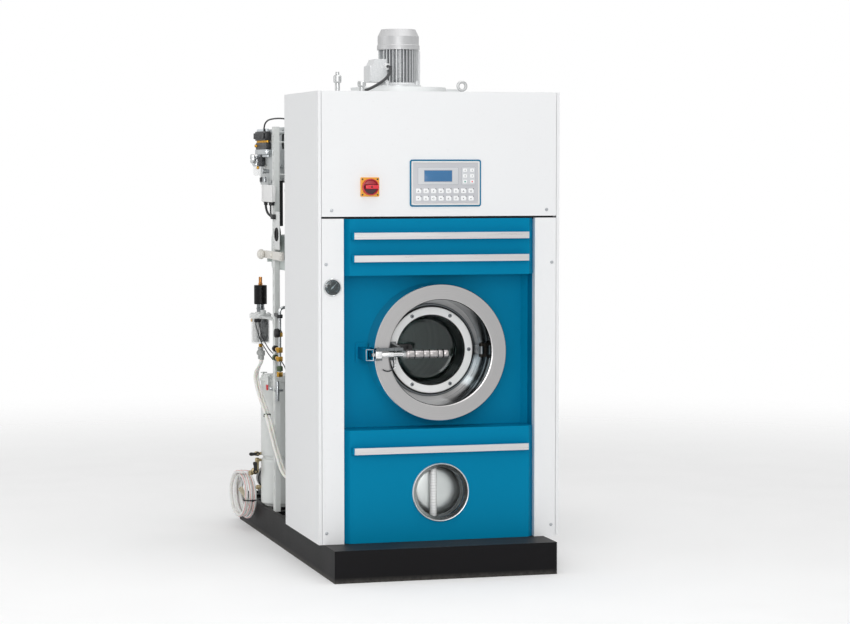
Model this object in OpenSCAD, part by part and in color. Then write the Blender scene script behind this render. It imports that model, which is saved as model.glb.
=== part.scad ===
// Dry cleaning machine: loading door with polished well, front cabinet, drum with drive,
// air circuit with fan motor on top, and the open machinery bay behind the cabinet.
// X to the right, Y to the back, Z up. Origin: on the floor, on the cabinet's centre plane,
// midway along the base. All sizes in millimetres.

/* [Base] */
// Width of the base tray
base_w = 804; // [780:1:860]
// Length of the base tray, front to back
base_l = 1654; // [1600:1:1900]
// Height of the base tray
base_h = 113; // [90:1:150]
// Sideways offset of the base tray from the cabinet's centre plane
base_shift = -18; // [-25:1:-5]
// Thickness of the tray's sheet
base_sheet = 4; // [3:0.5:6]
// Width of the tray's inward lip
base_lip = 20; // [14:1:30]
// Width of the cross channels that carry the machinery
beam_w = 45; // [36:1:50]

/* [Cabinet] */
// Width over the side panels
cab_w = 880; // [860:1:960]
// Height of the roof above the floor
cab_top = 1694; // [1640:1:1800]
// Depth of the side panels
side_l = 540; // [520:1:580]
// How far the base tray reaches out in front of the cabinet
front_step = 151; // [120:1:180]
// Thickness of the cabinet's sheet steel
sheet = 2.5; // [1.5:0.5:3]
// Width of the side panel's front lip
lip_w = 11; // [8:1:14]
// Visible groove between the side panel's lip and the front covers
groove = 1.5; // [1:0.5:3]
// Width of the front columns, from the outside of the cabinet
column_w = 91; // [80:1:105]
// Height of the upper front cover's lower edge
cover_z = 1258; // [1240:1:1275]
// Height of the columns' upper edge
column_top = 1251; // [1225:1:1253]
// Radius of the panel screws' heads
screw_r = 6; // [4:0.5:8]

/* [Front panels] */
// Height of the upper blue panel's lower edge
fascia_z = 1052; // [1040:1:1075]
// Height of the lower blue panel's upper edge
lower_top = 511; // [480:1:520]
// Depth of the recess that the middle panel makes
recess = 104; // [90:1:120]
// Width of the slanted margin of the upper and lower panel
margin_w = 21; // [14:1:26]
// Depth of that margin behind the column faces
margin_d = 25; // [15:1:28]
// Height of a bright rail
rail_h = 23; // [16:1:30]
// Length of a bright rail
rail_l = 636; // [560:1:645]
// How far a rail stands out of its panel
rail_out = 30; // [20:1:36]
// Heights of the rails' middles
rail_z = [1191, 1112, 440];
// Height of the inspection window's middle
window_z = 285; // [250:1:310]
// Radius of the inspection window's rim
window_r = 104; // [90:1:112]

/* [Door] */
// Height of the door's middle
door_z = 779; // [772:1:786]
// Radius of the steel collar
collar_r = 241; // [232:1:245]
// Inner radius of the polished well
well_r = 186; // [184:1:192]
// Depth of the door's ring behind the column faces
ring_set = 120; // [112:1:126]
// Outer radius of the white clamp ring
ring_r = 154; // [152:1:156]
// Inner radius of the white clamp ring
ring_hole = 126.5; // [122:0.5:130]
// Depth of the glass bowl behind its rim
bowl_depth = 74; // [50:1:80]
// Thickness of the glass
glass_t = 6; // [4:0.5:8]
// Number of ring screws
ring_screws = 6; // [4:1:8]

/* [Latch] */
// Sideways place of the latch lever's pivot
latch_x = -230; // [-232:1:-228]
// Height of the lever's centre line
latch_z = 776.5; // [774:0.5:779]
// Radius of the lever's rod
rod_r = 8.3; // [7:0.1:8.5]
// Radius of the grip
grip_r = 15; // [12:0.5:16]
// Length of the grip
grip_l = 153; // [130:1:160]
// Width of the square keeper tube
keeper_w = 22; // [21:0.5:24]
// Height of the square keeper tube
keeper_h = 39; // [34:1:44]

/* [Drum] */
// Radius of the tub
tub_r = 400; // [392:1:404]
// Radius of the drum
drum_r = 375; // [350:1:380]
// Radius of the drum's shaft
shaft_r = 30; // [25:1:35]
// Radius of the drum's pulley
drum_pulley_r = 226; // [190:1:240]
// Radius of the drive motor's pulley
motor_pulley_r = 45; // [38:1:50]
// Number of lifters in the drum
lifters = 3; // [3:1:4]

/* [Fan] */
// Radius of the fan cowl
cowl_r = 78; // [74:1:80]
// Height of the fan motor's flange face above the floor
motor_z = 1729; // [1725:1:1735]
// Number of cooling fins
fins = 36; // [28:2:40]
// Radius of the fan's shaft
fan_shaft_r = 9.5; // [8:0.5:12]
// Number of blades on the fan wheel
blades = 12; // [8:1:16]

/* [Rear machinery] */
// Radius of the filter housing
filter_r = 85; // [78:1:87]
// Height of the filter housing's lid
filter_top = 623; // [600:1:640]
// Radius of the water separator's glass
sep_r = 37; // [32:1:40]
// Radius of the still
still_r = 190; // [170:1:200]
// Number of solenoid valves on the plate
solenoids = 8; // [5:1:9]

/* [Hose] */
// Outer diameter of the coiled hose
hose_d = 14; // [13:0.5:14]
// Distance between neighbouring turns, sideways and in depth
hose_pitch = 16.3; // [16.3:0.1:17]
// Radius of the outermost turn's centre line
coil_r = 90.5; // [89.5:0.5:94]

/* [Hidden] */
$fn = 64;

// clearances used throughout
seat = 0.3;
run = 0.05;

// places on the front
cab_y = -base_l / 2 + front_step;
cab_x = cab_w / 2;
cab_end = cab_y + side_l;
base_x0 = base_shift - base_w / 2;
base_x1 = base_shift + base_w / 2;
cover_x = cab_x - lip_w - groove;
column_in = cab_x - column_w;
pan_x = column_in - seat;
pan_f = pan_x - margin_w;
panel_y = cab_y + recess;
deck_end = 100;
beams = [190, 300, 435, 560, 700];

// door stack, depths behind the column faces
collar_y = cab_y - 6;
ring_y = cab_y + ring_set;
glass_y = ring_y + 8 + seat;
gasket_y = glass_y + glass_t + seat;
frame_y = gasket_y + 5 + seat;
frame_t = 8;
seal_y = frame_y + frame_t + seat;
seat_y = seal_y + 6.5 + seat;
tub_y = seat_y + 3 + seat;
frame_r = ring_r + 12;
hinge_x = well_r - 14;
hinge_y = ring_y - 52;
hinge_h = 48;
pin_r = 4;

// latch
mouth_y = cab_y - 27;
lever_y = mouth_y + 8;
keeper_x = latch_x - 22 - keeper_w / 2;
keeper_t = 3;
eye_r = 7.5;
cheek_x = 10.5;
slot_h = 19;
strap_z = latch_z + 13.5;
rod_end = latch_x + 87;
grip_x = rod_end + 12;

// drum and drive
tub_end = 10;
tub_t = 3;
drum_y = tub_y + tub_t + 10;
drum_end = tub_end - tub_t - 15;
pulley_y = 140;
pulley_w = 40;
motor_x = 220;
motor_cz = 330;

// air circuit
casing_z = 1200;
casing_top = 1583;
casing_x = 350;
casing_y0 = -130;
casing_y1 = 475;
fan_x = 40;
fan_y = 44;
fan_top = motor_z - seat;
fin_r = cowl_r - 0.5;
body_h = 146;
cowl_z = motor_z + body_h - 4;
cowl_h = 77;

// machinery bay
post_x = -408;
post_y = 190;
filter_x = -420 + filter_r;
filter_y = 391;
sep_x = -400;
sep_y = 494;
sep_z = 738;
plate_x = -402;
valve_x = -447;
valve_y = 396;
still_x = -60;
still_y = 615;
pump_x = -320;
pump_y = 640;
comp_x = 265;
comp_y = 640;

// route of the cable from the fan motor to the roof
cable_pts = [[-22, -22, 1806], [-21, -38, 1806], [-20, -58, 1802], [-24, -82, 1790], [-38, -110, 1772],
    [-62, -142, 1753], [-92, -178, 1737], [-124, -214, 1723], [-152, -246, 1713], [-172, -270, 1709],
    [-186, -288, 1707], [-194, -304, 1704], [-196, -316, 1699], [-196, -316, 1688]];
// route of the clear hoses from the separator's tee to the tank
clear_pts = [[-400, 494, 674], [-402, 490, 662], [-412, 470, 646], [-424, 440, 630], [-431, 404, 606],
    [-431, 366, 572], [-427, 324, 534], [-421, 282, 496], [-417, 240, 460], [-415, 200, 425], [-414, 150, 384],
    [-413, 96, 344], [-412, 40, 306], [-408, -6, 278], [-392, -32, 262], [-368, -40, 255], [-345, -41, 254],
    [-334, -41, 254]];
// route of the dark hose from the junction down to the lint filter
dark_pts = [[-416, 310, 1297.7], [-416, 310, 1280], [-414, 302, 1262], [-411, 284, 1250], [-404, 262, 1240],
    [-392, 250, 1222], [-380, 246, 1200], [-376, 246, 1184], [-376, 246, 1170.3]];

// middle of the coiled hose, and its turn about the vertical
coil_c = [-463, 546, 138];
coil_turn = 10;
coil_sides = 6;
coil_rings = 24;
elbow = [-461, valve_y, 241];

// ---------- helpers ----------

// outward side of a line from a to b, one unit long
function side_of(a, b) = [a[1] - b[1], b[0] - a[0]] / norm(b - a);

// corner i of a folded line, moved sideways by t with a mitre
function mitre(p, i, t) =
    i == 0 ? p[0] + t * side_of(p[0], p[1]) :
    i == len(p) - 1 ? p[i] + t * side_of(p[i - 1], p[i]) :
    let (m = side_of(p[i - 1], p[i]) + side_of(p[i], p[i + 1])) p[i] + m * 2 * t / (m * m);

// sheet of thickness t along a folded line, on its left side for t above zero
module folded(p, t) {
    polygon(concat(p, [for (i = [len(p) - 1 : -1 : 0]) mitre(p, i, t)]));
}

// flat shapes drawn in X and Z, or in Y and Z, and made thick
module in_xz(y0, y1) {
    translate([0, y1, 0]) rotate([90, 0, 0]) linear_extrude(y1 - y0) children();
}

module in_yz(x0, x1) {
    translate([x0, 0, 0]) rotate([90, 0, 90]) linear_extrude(x1 - x0) children();
}

module in_xy(z0, z1) {
    translate([0, 0, z0]) linear_extrude(z1 - z0) children();
}

// turned shapes: the profile is drawn as radius and place along the axis
module turned_x(y, z) {
    translate([0, y, z]) rotate([0, 90, 0]) rotate_extrude() children();
}

module turned_y(x, z) {
    translate([x, 0, z]) rotate([-90, 0, 0]) rotate_extrude() children();
}

module turned_z(x, y) {
    translate([x, y, 0]) rotate_extrude() children();
}

module box(p, q) {
    translate(p) cube(q - p);
}

module rod_z(x, y, z0, z1, r) {
    translate([x, y, z0]) cylinder(h = z1 - z0, r = r);
}

module rod_y(x, y0, y1, z, r) {
    translate([x, y0, z]) rotate([-90, 0, 0]) cylinder(h = y1 - y0, r = r);
}

module rod_x(x0, x1, y, z, r) {
    translate([x0, y, z]) rotate([0, 90, 0]) cylinder(h = x1 - x0, r = r);
}

module round_rect(w, h, r) {
    square([w, h - 2 * r], center = true);
    square([w - 2 * r, h], center = true);
    for (sx = [-1, 1], sy = [-1, 1]) {
        translate([sx * (w / 2 - r), sy * (h / 2 - r)]) circle(r);
    }
}

// a tube swept along points: each ring stands square to the line at its point
function unit(v) = v / norm(v);
function heading(p, i) = unit(p[min(i + 1, len(p) - 1)] - p[max(i - 1, 0)]);
function frames_at(p, i) = i == 0 ? unit(cross(heading(p, 0), abs(heading(p, 0)[2]) > 0.9 ? [1, 0, 0] : [0, 0, 1])) :
    let (t = heading(p, i), v = frames_at(p, i - 1)) unit(v - t * (t * v));
function all_frames(p) = [
    for (i = 0, u = frames_at(p, 0); i < len(p);
        i = i + 1, u = i < len(p) ? unit(u - heading(p, i) * (heading(p, i) * u)) : u) u];

module swept(p, r, sides) {
    n = len(p);
    us = all_frames(p);
    pts = [for (i = [0 : n - 1]) let (t = heading(p, i), u = us[i], v = cross(t, u))
        for (k = [0 : sides - 1]) p[i] + r * (u * cos(360 * k / sides) + v * sin(360 * k / sides))];
    walls = [for (i = [0 : n - 2], k = [0 : sides - 1]) let (a = i * sides + k, b = i * sides + (k + 1) % sides)
        each [[a, a + sides, b], [b, a + sides, b + sides]]];
    start = [for (k = [1 : sides - 2]) [0, k, k + 1]];
    end = [for (k = [1 : sides - 2]) [(n - 1) * sides, (n - 1) * sides + k + 1, (n - 1) * sides + k]];
    polyhedron(points = pts, faces = concat(walls, start, end));
}

// ---------- base ----------

module base_tray() {
    y0 = -base_l / 2;
    color("#1d1d1e") {
        difference() {
            box([base_x0, y0, 0], [base_x1, -y0, base_h]);
            box([base_x0 + base_sheet, y0 + base_sheet, base_sheet],
                [base_x1 - base_sheet, -y0 - base_sheet, base_h - base_sheet]);
            box([base_x0 + base_lip, deck_end, base_sheet], [base_x1 - base_lip, -y0 - base_lip, base_h + 1]);
        }
        for (y = beams) {
            difference() {
                box([base_x0 + base_sheet, y, base_sheet], [base_x1 - base_sheet, y + beam_w, base_h]);
                box([base_x0 + base_sheet - 1, y + base_sheet, base_sheet - 1],
                    [base_x1 - base_sheet + 1, y + beam_w - base_sheet, base_h - base_sheet]);
            }
        }
    }
}

module post(x, y, z1, w, d) {
    difference() {
        box([x, y, base_h + seat], [x + w, y + d, z1]);
        box([x + 3, y + 3, base_h + seat + 3], [x + w + 1, y + d - 3, z1 - 3]);
        for (z = [base_h + 60 : 50 : z1 - 60]) {
            box([x - 1, y + d / 2 - 5, z], [x + 4, y + d / 2 + 5, z + 26]);
        }
    }
}

module bay_frame() {
    color("#b9c2bf") {
        post(post_x, post_y, casing_top, 20, 40);
        for (z = [casing_z + 200, casing_top - 60]) {
            box([post_x + 18, post_y + 6, z], [-casing_x - seat, post_y + 34, z + 5]);
        }
        post(-240, casing_y1 - 40, casing_z - seat, 20, 40);
        post(320, casing_y1 - 40, casing_z - seat, 20, 40);
        post(320, post_y, casing_z - seat, 20, 40);
    }
}

// ---------- cabinet ----------

// side panel with a lip at the front, a wider one at the back, and a foot flange that reaches the base
module side_panel(s, foot) {
    z0 = base_h + seat;
    mirror([s < 0 ? 1 : 0, 0, 0]) {
        in_xy(z0, cab_top) {
            folded([[cab_x - lip_w, cab_y], [cab_x, cab_y], [cab_x, cab_end], [cab_x - 26, cab_end]], sheet);
        }
        box([cab_x - foot, cab_y + 30 + seat, z0], [cab_x - sheet / 2, cab_end - sheet - 1, z0 + sheet]);
        box([cab_x - 20, cab_y + 24, cab_top - 2 * sheet - seat],
            [cab_x - sheet / 2, cab_end - sheet - 1, cab_top - sheet - seat]);
    }
}

module left_side_panel() {
    color("#eceef0") side_panel(-1, cab_x + base_x0 + base_lip);
}

module right_side_panel() {
    color("#eceef0") side_panel(1, cab_x - base_x1 + base_lip);
}

module cabinet_roof() {
    x = cab_x - sheet - seat;
    color("#eceef0") {
        difference() {
            union() {
                box([-x, cab_y + 20 + sheet + seat, cab_top - sheet], [x, cab_end - sheet - seat, cab_top]);
                box([-x + 26, cab_end - sheet - seat - sheet, cab_top - 40],
                    [x - 26, cab_end - sheet - seat, cab_top - sheet / 2]);
            }
            rod_z(-196, -316, cab_top - 10, cab_top + 10, 8);
        }
    }
}

// front cover: face, side returns, and flanges that meet the side panels from inside
module upper_cover() {
    z0 = cover_z;
    z1 = cab_top;
    fl = cab_x - sheet - seat;
    d = 20;
    color("#eef0f2") {
        difference() {
            union() {
                in_xy(z0, z1) {
                    folded([[-fl, cab_y + d], [-cover_x, cab_y + d], [-cover_x, cab_y], [cover_x, cab_y],
                        [cover_x, cab_y + d], [fl, cab_y + d]], sheet);
                }
                box([-cover_x + 1, cab_y + 1, z0], [cover_x - 1, cab_y + d, z0 + sheet]);
                box([-cover_x + 1, cab_y + 1, z1 - sheet], [cover_x - 1, cab_y + d, z1]);
            }
            box([19 - 119, cab_y - 1, 1374 - 74], [19 + 119, cab_y + 5, 1374 + 74]);
            rod_y(-256, cab_y - 1, cab_y + 5, 1361, 14);
            for (s = [-1, 1]) {
                rod_y(s * 392, cab_y - 1, cab_y + 5, 1280, 3.5);
            }
        }
    }
}

// a column: inner return beside the blue panels, face, outer return and flange
module column(s) {
    fl = cab_x - sheet - seat;
    z0 = base_h + seat;
    mirror([s < 0 ? 1 : 0, 0, 0]) {
        difference() {
            union() {
                in_xy(z0, column_top) {
                    folded([[column_in, cab_y + 30], [column_in, cab_y], [cover_x, cab_y], [cover_x, cab_y + 20],
                        [fl, cab_y + 20]], sheet);
                }
                box([column_in + 1, cab_y + 1, column_top - sheet], [cover_x - 1, cab_y + 28, column_top]);
            }
            for (z = [154, 1093]) {
                rod_y(412, cab_y - 1, cab_y + 5, z, 3.5);
            }
        }
        box([column_in + 1, cab_y + 1, z0], [cover_x - 1, cab_y + 28, z0 + sheet]);
    }
}

module left_column() {
    color("#eef0f2") difference() {
        column(-1);
        rod_y(-390, cab_y - 1, cab_y + 10, 1013, 30);
    }
}

module right_column() {
    color("#eef0f2") column(1);
}

// ---------- blue panels ----------

// panel that stands forward, with slanted margins, between heights z0 and z1
module pan(z0, z1) {
    in_xy(z0, z1) {
        folded([[-pan_x, cab_y + margin_d + 12], [-pan_x, cab_y + margin_d], [-pan_f, cab_y], [pan_f, cab_y],
            [pan_x, cab_y + margin_d], [pan_x, cab_y + margin_d + 12]], sheet);
    }
}

// shelf that closes the recess above or below the middle panel
module ledge(z0, z1) {
    in_xy(z0, z1) {
        polygon([[-pan_f, cab_y + 1], [pan_f, cab_y + 1], [pan_x - 1, cab_y + margin_d], [pan_x - 1, panel_y + sheet],
            [-pan_x + 1, panel_y + sheet], [-pan_x + 1, cab_y + margin_d]]);
    }
}

// blue box rail that carries a bright strip
module rail(z) {
    difference() {
        box([-rail_l / 2 - 5, cab_y - rail_out + 2, z - rail_h / 2], [rail_l / 2 + 5, cab_y + 1, z + rail_h / 2]);
        box([-rail_l / 2, cab_y - rail_out + 4, z - rail_h / 2 + 2], [rail_l / 2, cab_y + 2, z + rail_h / 2 - 2]);
    }
}

module upper_panel() {
    color("#0077a0") {
        pan(fascia_z, column_top - 1);
        ledge(fascia_z, fascia_z + sheet);
        rail(rail_z[0]);
        rail(rail_z[1]);
    }
}

module lower_panel() {
    z0 = base_h + seat;
    color("#0077a0") {
        difference() {
            pan(z0, lower_top);
            rod_y(0, cab_y - 1, cab_y + 5, window_z, window_r - 16);
        }
        ledge(lower_top - sheet, lower_top);
        box([-pan_f, cab_y + 1, z0], [pan_f, cab_y + 70 - seat, z0 + sheet]);
        rail(rail_z[2]);
    }
}

module middle_panel() {
    back = cab_y + 30 + seat;
    color("#006f98") difference() {
        in_xy(lower_top + seat, fascia_z - seat) {
            folded([[-pan_x, back], [-pan_x, panel_y - 22], [-pan_x + 19, panel_y], [pan_x - 19, panel_y],
                [pan_x, panel_y - 22], [pan_x, back]], sheet);
        }
        rod_y(0, panel_y - 1, panel_y + 5, door_z, well_r + 12);
    }
}

module trim_strips() {
    color("#d9dbdc") for (z = rail_z) {
        in_xz(cab_y - rail_out - 0.5, cab_y - rail_out + 2 - run) {
            translate([0, z]) square([rail_l, rail_h], center = true);
        }
    }
}

module panel_screw(x, z) {
    turned_y(x, z) {
        polygon([[0, cab_y - 3], [screw_r - 1.5, cab_y - 2.6], [screw_r, cab_y - 1], [screw_r, cab_y - run],
            [3, cab_y - run], [3, cab_y + 12], [0, cab_y + 12]]);
    }
}

module panel_screws() {
    color("#c3c6c9") for (s = [-1, 1]) {
        difference() {
            panel_screw(s * 392, 1280);
            box([s * 392 - 7, cab_y - 4, 1279], [s * 392 + 7, cab_y - 2, 1281]);
        }
        for (z = [154, 1093]) {
            difference() {
                panel_screw(s * 412, z);
                box([s * 412 - 7, cab_y - 4, z - 1], [s * 412 + 7, cab_y - 2, z + 1]);
            }
        }
    }
}

// ---------- loading door ----------

// spun steel collar: outer skirt, brushed face, rolled edge, polished well and seat flange
module door_collar() {
    color("#c9c7c5") difference() {
        turned_y(0, door_z) {
            folded([[collar_r, panel_y - seat], [collar_r, collar_y + 2], [collar_r - 2, collar_y],
                [well_r + 6, collar_y], [well_r + 2, collar_y + 1.5], [well_r, collar_y + 6], [well_r, seat_y],
                [ring_r - 4, seat_y]], -2.5);
        }
        box([-260, collar_y - 5, latch_z - 8.5], [latch_x + 11, collar_y + 18, latch_z + 8.5]);
    }
}

// ears and pin in the well, to the right of the door
module door_hinge() {
    h = hinge_h / 2;
    color("#4a4744") {
        intersection() {
            difference() {
                union() {
                    for (s = [-1, 1]) {
                        rod_z(hinge_x, hinge_y, door_z + s * (h - 5) - 5, door_z + s * (h - 5) + 5, 9);
                        box([hinge_x, hinge_y - 9, door_z + s * (h - 5) - 5],
                            [well_r, hinge_y + 9, door_z + s * (h - 5) + 5]);
                    }
                    box([well_r - 6, hinge_y - 9, door_z - h], [well_r, hinge_y + 9, door_z + h]);
                }
                rod_z(hinge_x, hinge_y, door_z - h - 1, door_z + h + 1, pin_r);
                rod_z(hinge_x, hinge_y, door_z - h + 10, door_z + h - 10, 12);
            }
            rod_y(0, hinge_y - 20, hinge_y + 20, door_z, well_r - seat);
        }
    }
    color("#b8b8b8") {
        rod_z(hinge_x, hinge_y, door_z - h - 3, door_z + h + 3, pin_r - run);
        rod_z(hinge_x, hinge_y, door_z + h + run, door_z + h + 4, pin_r + 2);
    }
}

// stainless ring that carries the glass, with the hinge knuckle; and the latch arm on the clamp ring
module door_frame() {
    h = hinge_h / 2 - 10.4;
    rim = ring_r + 4;
    color("#b9b7b4") {
        difference() {
            union() {
                turned_y(0, door_z) {
                    polygon([[ring_hole + 3, frame_y], [rim, frame_y], [rim, ring_y + 8], [rim + 2, ring_y + 6],
                        [frame_r - 2, ring_y + 6], [frame_r, ring_y + 8], [frame_r, frame_y + frame_t],
                        [ring_hole + 3, frame_y + frame_t]]);
                }
                rod_z(hinge_x, hinge_y, door_z - h, door_z + h, 9);
                box([rim + seat, hinge_y - 4, door_z - h], [hinge_x + 4, ring_y + 10, door_z + h]);
            }
            rod_z(hinge_x, hinge_y, door_z - h - 1, door_z + h + 1, pin_r);
            for (i = [0 : ring_screws - 1]) {
                rotate_door(360 * i / ring_screws) rod_y(140, frame_y - 1, frame_y + frame_t + 1, 0, 3.3);
            }
        }
        latch_arm();
    }
}

// turn about the door's middle
module rotate_door(a) {
    translate([0, 0, door_z]) rotate([0, a, 0]) children();
}

module latch_arm() {
    z0 = latch_z - slot_h / 2;
    z1 = latch_z + slot_h / 2;
    foot_x = -ring_r + 1;
    difference() {
        union() {
            box([foot_x, ring_y - 6, latch_z - 31], [foot_x + 22, ring_y - seat, latch_z + 35]);
            in_yz(foot_x + 1, foot_x + 11) {
                polygon([[ring_y - 5, latch_z - 29], [ring_y - 5, latch_z + 33], [ring_y - 40, latch_z + 30],
                    [lever_y + 10, strap_z + 10], [lever_y - 8, strap_z + 10], [lever_y - 8, strap_z],
                    [lever_y + 26, strap_z], [ring_y - 50, latch_z + 4]]);
            }
            box([latch_x - cheek_x, lever_y - 8, strap_z], [foot_x + 5, lever_y + 8, strap_z + 10]);
            box([latch_x - cheek_x, lever_y - 13, z1], [latch_x + cheek_x, lever_y + 11, strap_z + 10]);
            box([latch_x - cheek_x, lever_y - 13, z0 - 10], [latch_x + cheek_x, lever_y + 11, z0]);
            box([latch_x - cheek_x, lever_y - 13, z0 - 1], [latch_x - cheek_x + 3, lever_y - 8.5, z1 + 1]);
        }
        rod_z(latch_x, lever_y, z0 - 11, strap_z + 11, 3 + run);
    }
    rod_z(latch_x, lever_y, z0 - 12, strap_z + 12, 3);
}

module door_gasket() {
    color("#161616") {
        turned_y(0, door_z) {
            polygon([[ring_hole + 4, gasket_y], [ring_r + seat, gasket_y], [ring_r + seat, ring_y + 2],
                [ring_r + 3.7, ring_y + 2], [ring_r + 3.7, gasket_y + 5], [ring_hole + 4, gasket_y + 5]]);
        }
        turned_y(0, door_z) {
            translate([ring_r + 4, seal_y + 3.25]) {
                square([9, 6.5], center = true);
                translate([4.5, 0]) circle(3.25);
                translate([-4.5, 0]) circle(3.25);
            }
        }
    }
}

module door_glass() {
    color("#6b7a76") turned_y(0, door_z) {
        folded([[148, glass_y], [ring_hole - 3, glass_y], [ring_hole - 16, glass_y + bowl_depth - 14],
            [ring_hole - 22, glass_y + bowl_depth - 4], [ring_hole - 31, glass_y + bowl_depth],
            [0, glass_y + bowl_depth]], -glass_t);
    }
}

module clamp_ring() {
    color("#f2f2f2") difference() {
        turned_y(0, door_z) {
            polygon([[ring_hole, ring_y + 8], [ring_hole, ring_y + 2], [ring_hole + 2, ring_y], [ring_r - 2, ring_y],
                [ring_r, ring_y + 2], [ring_r, ring_y + 8]]);
        }
        for (i = [0 : ring_screws - 1]) {
            rotate_door(360 * i / ring_screws) rod_y(140, ring_y - 1, ring_y + 9, 0, 3.3);
        }
    }
    color("#9a9ca0") for (i = [1 : ring_screws]) {
        if (i != ring_screws / 2) {
            rotate_door(360 * i / ring_screws) difference() {
                turned_y(140, 0) {
                    polygon([[0, ring_y - 3], [4, ring_y - 3], [5, ring_y - 1.5], [5, ring_y - run], [3, ring_y - run],
                        [3, glass_y - run], [0, glass_y - run]]);
                }
                rod_y(140, ring_y - 4, ring_y - 1.5, 0, 2);
            }
        }
    }
}

// lever: eye on the pivot, tongue in the keeper, rod and hexagon collar
module latch_lever() {
    color("#cfd1d2") difference() {
        union() {
            rod_z(latch_x, lever_y, latch_z - 8, latch_z + 8, eye_r);
            box([latch_x - 24, lever_y - 4, latch_z - 5], [latch_x, lever_y + 4, latch_z + 5]);
            rod_x(latch_x + 4, rod_end + 10, lever_y, latch_z, rod_r);
            translate([rod_end, lever_y, latch_z]) rotate([0, 90, 0]) cylinder(h = 9, r = 13, $fn = 6);
        }
        rod_z(latch_x, lever_y, latch_z - 9, latch_z + 9, 3 + run);
        rod_x(rod_end + 9.5, rod_end + 11, lever_y, latch_z, 3);
    }
}

module latch_grip() {
    g = grip_x;
    r = grip_r;
    c = [0, 12, 30, 62, 84, 116, 131, grip_l];
    color("#3a3b3d") turned_x(lever_y, latch_z) {
        polygon(concat([[0, g - 1.9], [rod_r + 2, g - 1.9], [r - 4, g]],
            [for (i = [1 : len(c) - 2]) each [[r, g + c[i] - 5], [r, g + c[i] - 2], [r - 2.2, g + c[i] - 1],
                [r - 2.2, g + c[i] + 1], [r, g + c[i] + 2], [r, g + c[i] + 5]]],
            [[r, g + grip_l - 5], [r - 4, g + grip_l], [0, g + grip_l + 1]]));
    }
}

// square tube on the middle panel; its right wall is open for the tongue
module latch_keeper() {
    w = keeper_w / 2;
    h = keeper_h / 2;
    color("#0077a0") difference() {
        union() {
            box([keeper_x - w, mouth_y, latch_z - h], [keeper_x + w, panel_y - seat, latch_z + h]);
            box([keeper_x - w - 9, panel_y - seat - 4, latch_z - h - 14],
                [keeper_x + w + 6, panel_y - seat, latch_z + h + 14]);
        }
        box([keeper_x - w + keeper_t, mouth_y - 1, latch_z - h + keeper_t],
            [keeper_x + w - keeper_t, panel_y - 8, latch_z + h - keeper_t]);
        box([keeper_x, mouth_y - 1, latch_z - 7.5], [keeper_x + w + 1, lever_y + 30, latch_z + 7.5]);
    }
}

// ---------- window, gauge, switch, control unit ----------

module window_rim() {
    r = window_r;
    color("#d2d3d4") turned_y(0, window_z) {
        polygon([[r - 15, cab_y - 8], [r - 6, cab_y - 9], [r - 1, cab_y - 6.5], [r, cab_y - 3], [r, cab_y - seat],
            [r - 9, cab_y - seat], [r - 9, cab_y - 5], [r - 18, cab_y - 5], [r - 18, cab_y - 6.5]]);
    }
}

module window_glass() {
    color("#c8d4d6") turned_y(0, window_z) {
        polygon([[0, cab_y - 4.7], [window_r - 9 - seat, cab_y - 4.7], [window_r - 9 - seat, cab_y - seat],
            [0, cab_y - seat]]);
    }
}

module pressure_gauge() {
    y = cab_y;
    color("#c9cbcc") turned_y(-390, 1013) {
        polygon([[26, y - 9], [29, y - 10], [31.5, y - 7], [31.5, y - seat], [29, y - seat], [29, y + 34],
            [27, y + 36], [1.1, y + 36], [1.1, y - 2], [27, y - 2], [27, y - 8], [26, y - 8]]);
    }
    color("#cfd8da") rod_y(-390, y - 7.7, y - 6.5, 1013, 27 - run);
}

module gauge_needle() {
    color("#202020") difference() {
        translate([-390, 0, 1013]) rotate([0, -45, 0]) union() {
            rod_y(0, cab_y - 5.5, cab_y - 4, 0, 3);
            in_xz(cab_y - 5.2, cab_y - 4.2) polygon([[-8, 1.4], [-8, -1.4], [0, -1.4], [21, 0], [0, 1.4]]);
            rod_y(0, cab_y - 4.5, cab_y + 20, 0, 1);
        }
    }
}

module switch_plate() {
    color("#e8c21c") difference() {
        in_xz(cab_y - 6, cab_y - seat) {
            translate([-256, 1361]) difference() {
                round_rect(67, 67, 4);
                circle(10 + run);
                for (sx = [-1, 1], sy = [-1, 1]) {
                    translate([sx * 27, sy * 27]) circle(2);
                }
            }
        }
    }
}

module switch_knob() {
    y = cab_y - 6;
    color("#c2281e") translate([-256, 0, 1361]) {
        turned_y(0, 0) {
            polygon([[0, y - 12], [25, y - 12], [28, y - 9], [29, y - seat], [10, y - seat], [10, y + 30], [0, y + 30]]);
        }
        rotate([0, -35, 0]) in_xz(y - 27, y - 11) {
            square([44, 15], center = true);
            translate([22, 0]) circle(7.5);
            translate([-22, 0]) circle(7.5);
        }
    }
}

// framed control unit, set in the upper cover's cut-out
module control_unit() {
    y = cab_y;
    color("#0a7f94") in_xz(y - 3, y - seat) {
        translate([19, 1374]) difference() {
            round_rect(255, 164, 12);
            round_rect(245, 154, 8);
        }
    }
    color("#b9bec2") difference() {
        union() {
            in_xz(y - 5, y - seat) translate([19, 1374]) round_rect(243.5, 152.5, 7);
            box([-98, y - 1, 1302], [136, y + 46, 1446]);
        }
        in_xz(y - 6, y - 3) translate([-9, 1399]) round_rect(147, 60, 4);
        box([-100 + 4, y + 4, 1306], [134, y + 47, 1442]);
    }
    color("#3d6fb4") in_xz(y - 3 - run, y - 2) translate([-9, 1399]) square([101, 39], center = true);
}

module key(x, z, w, h) {
    in_xz(cab_y - 6.2, cab_y - 5 - run) translate([x, z]) round_rect(w, h, 2);
}

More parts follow.
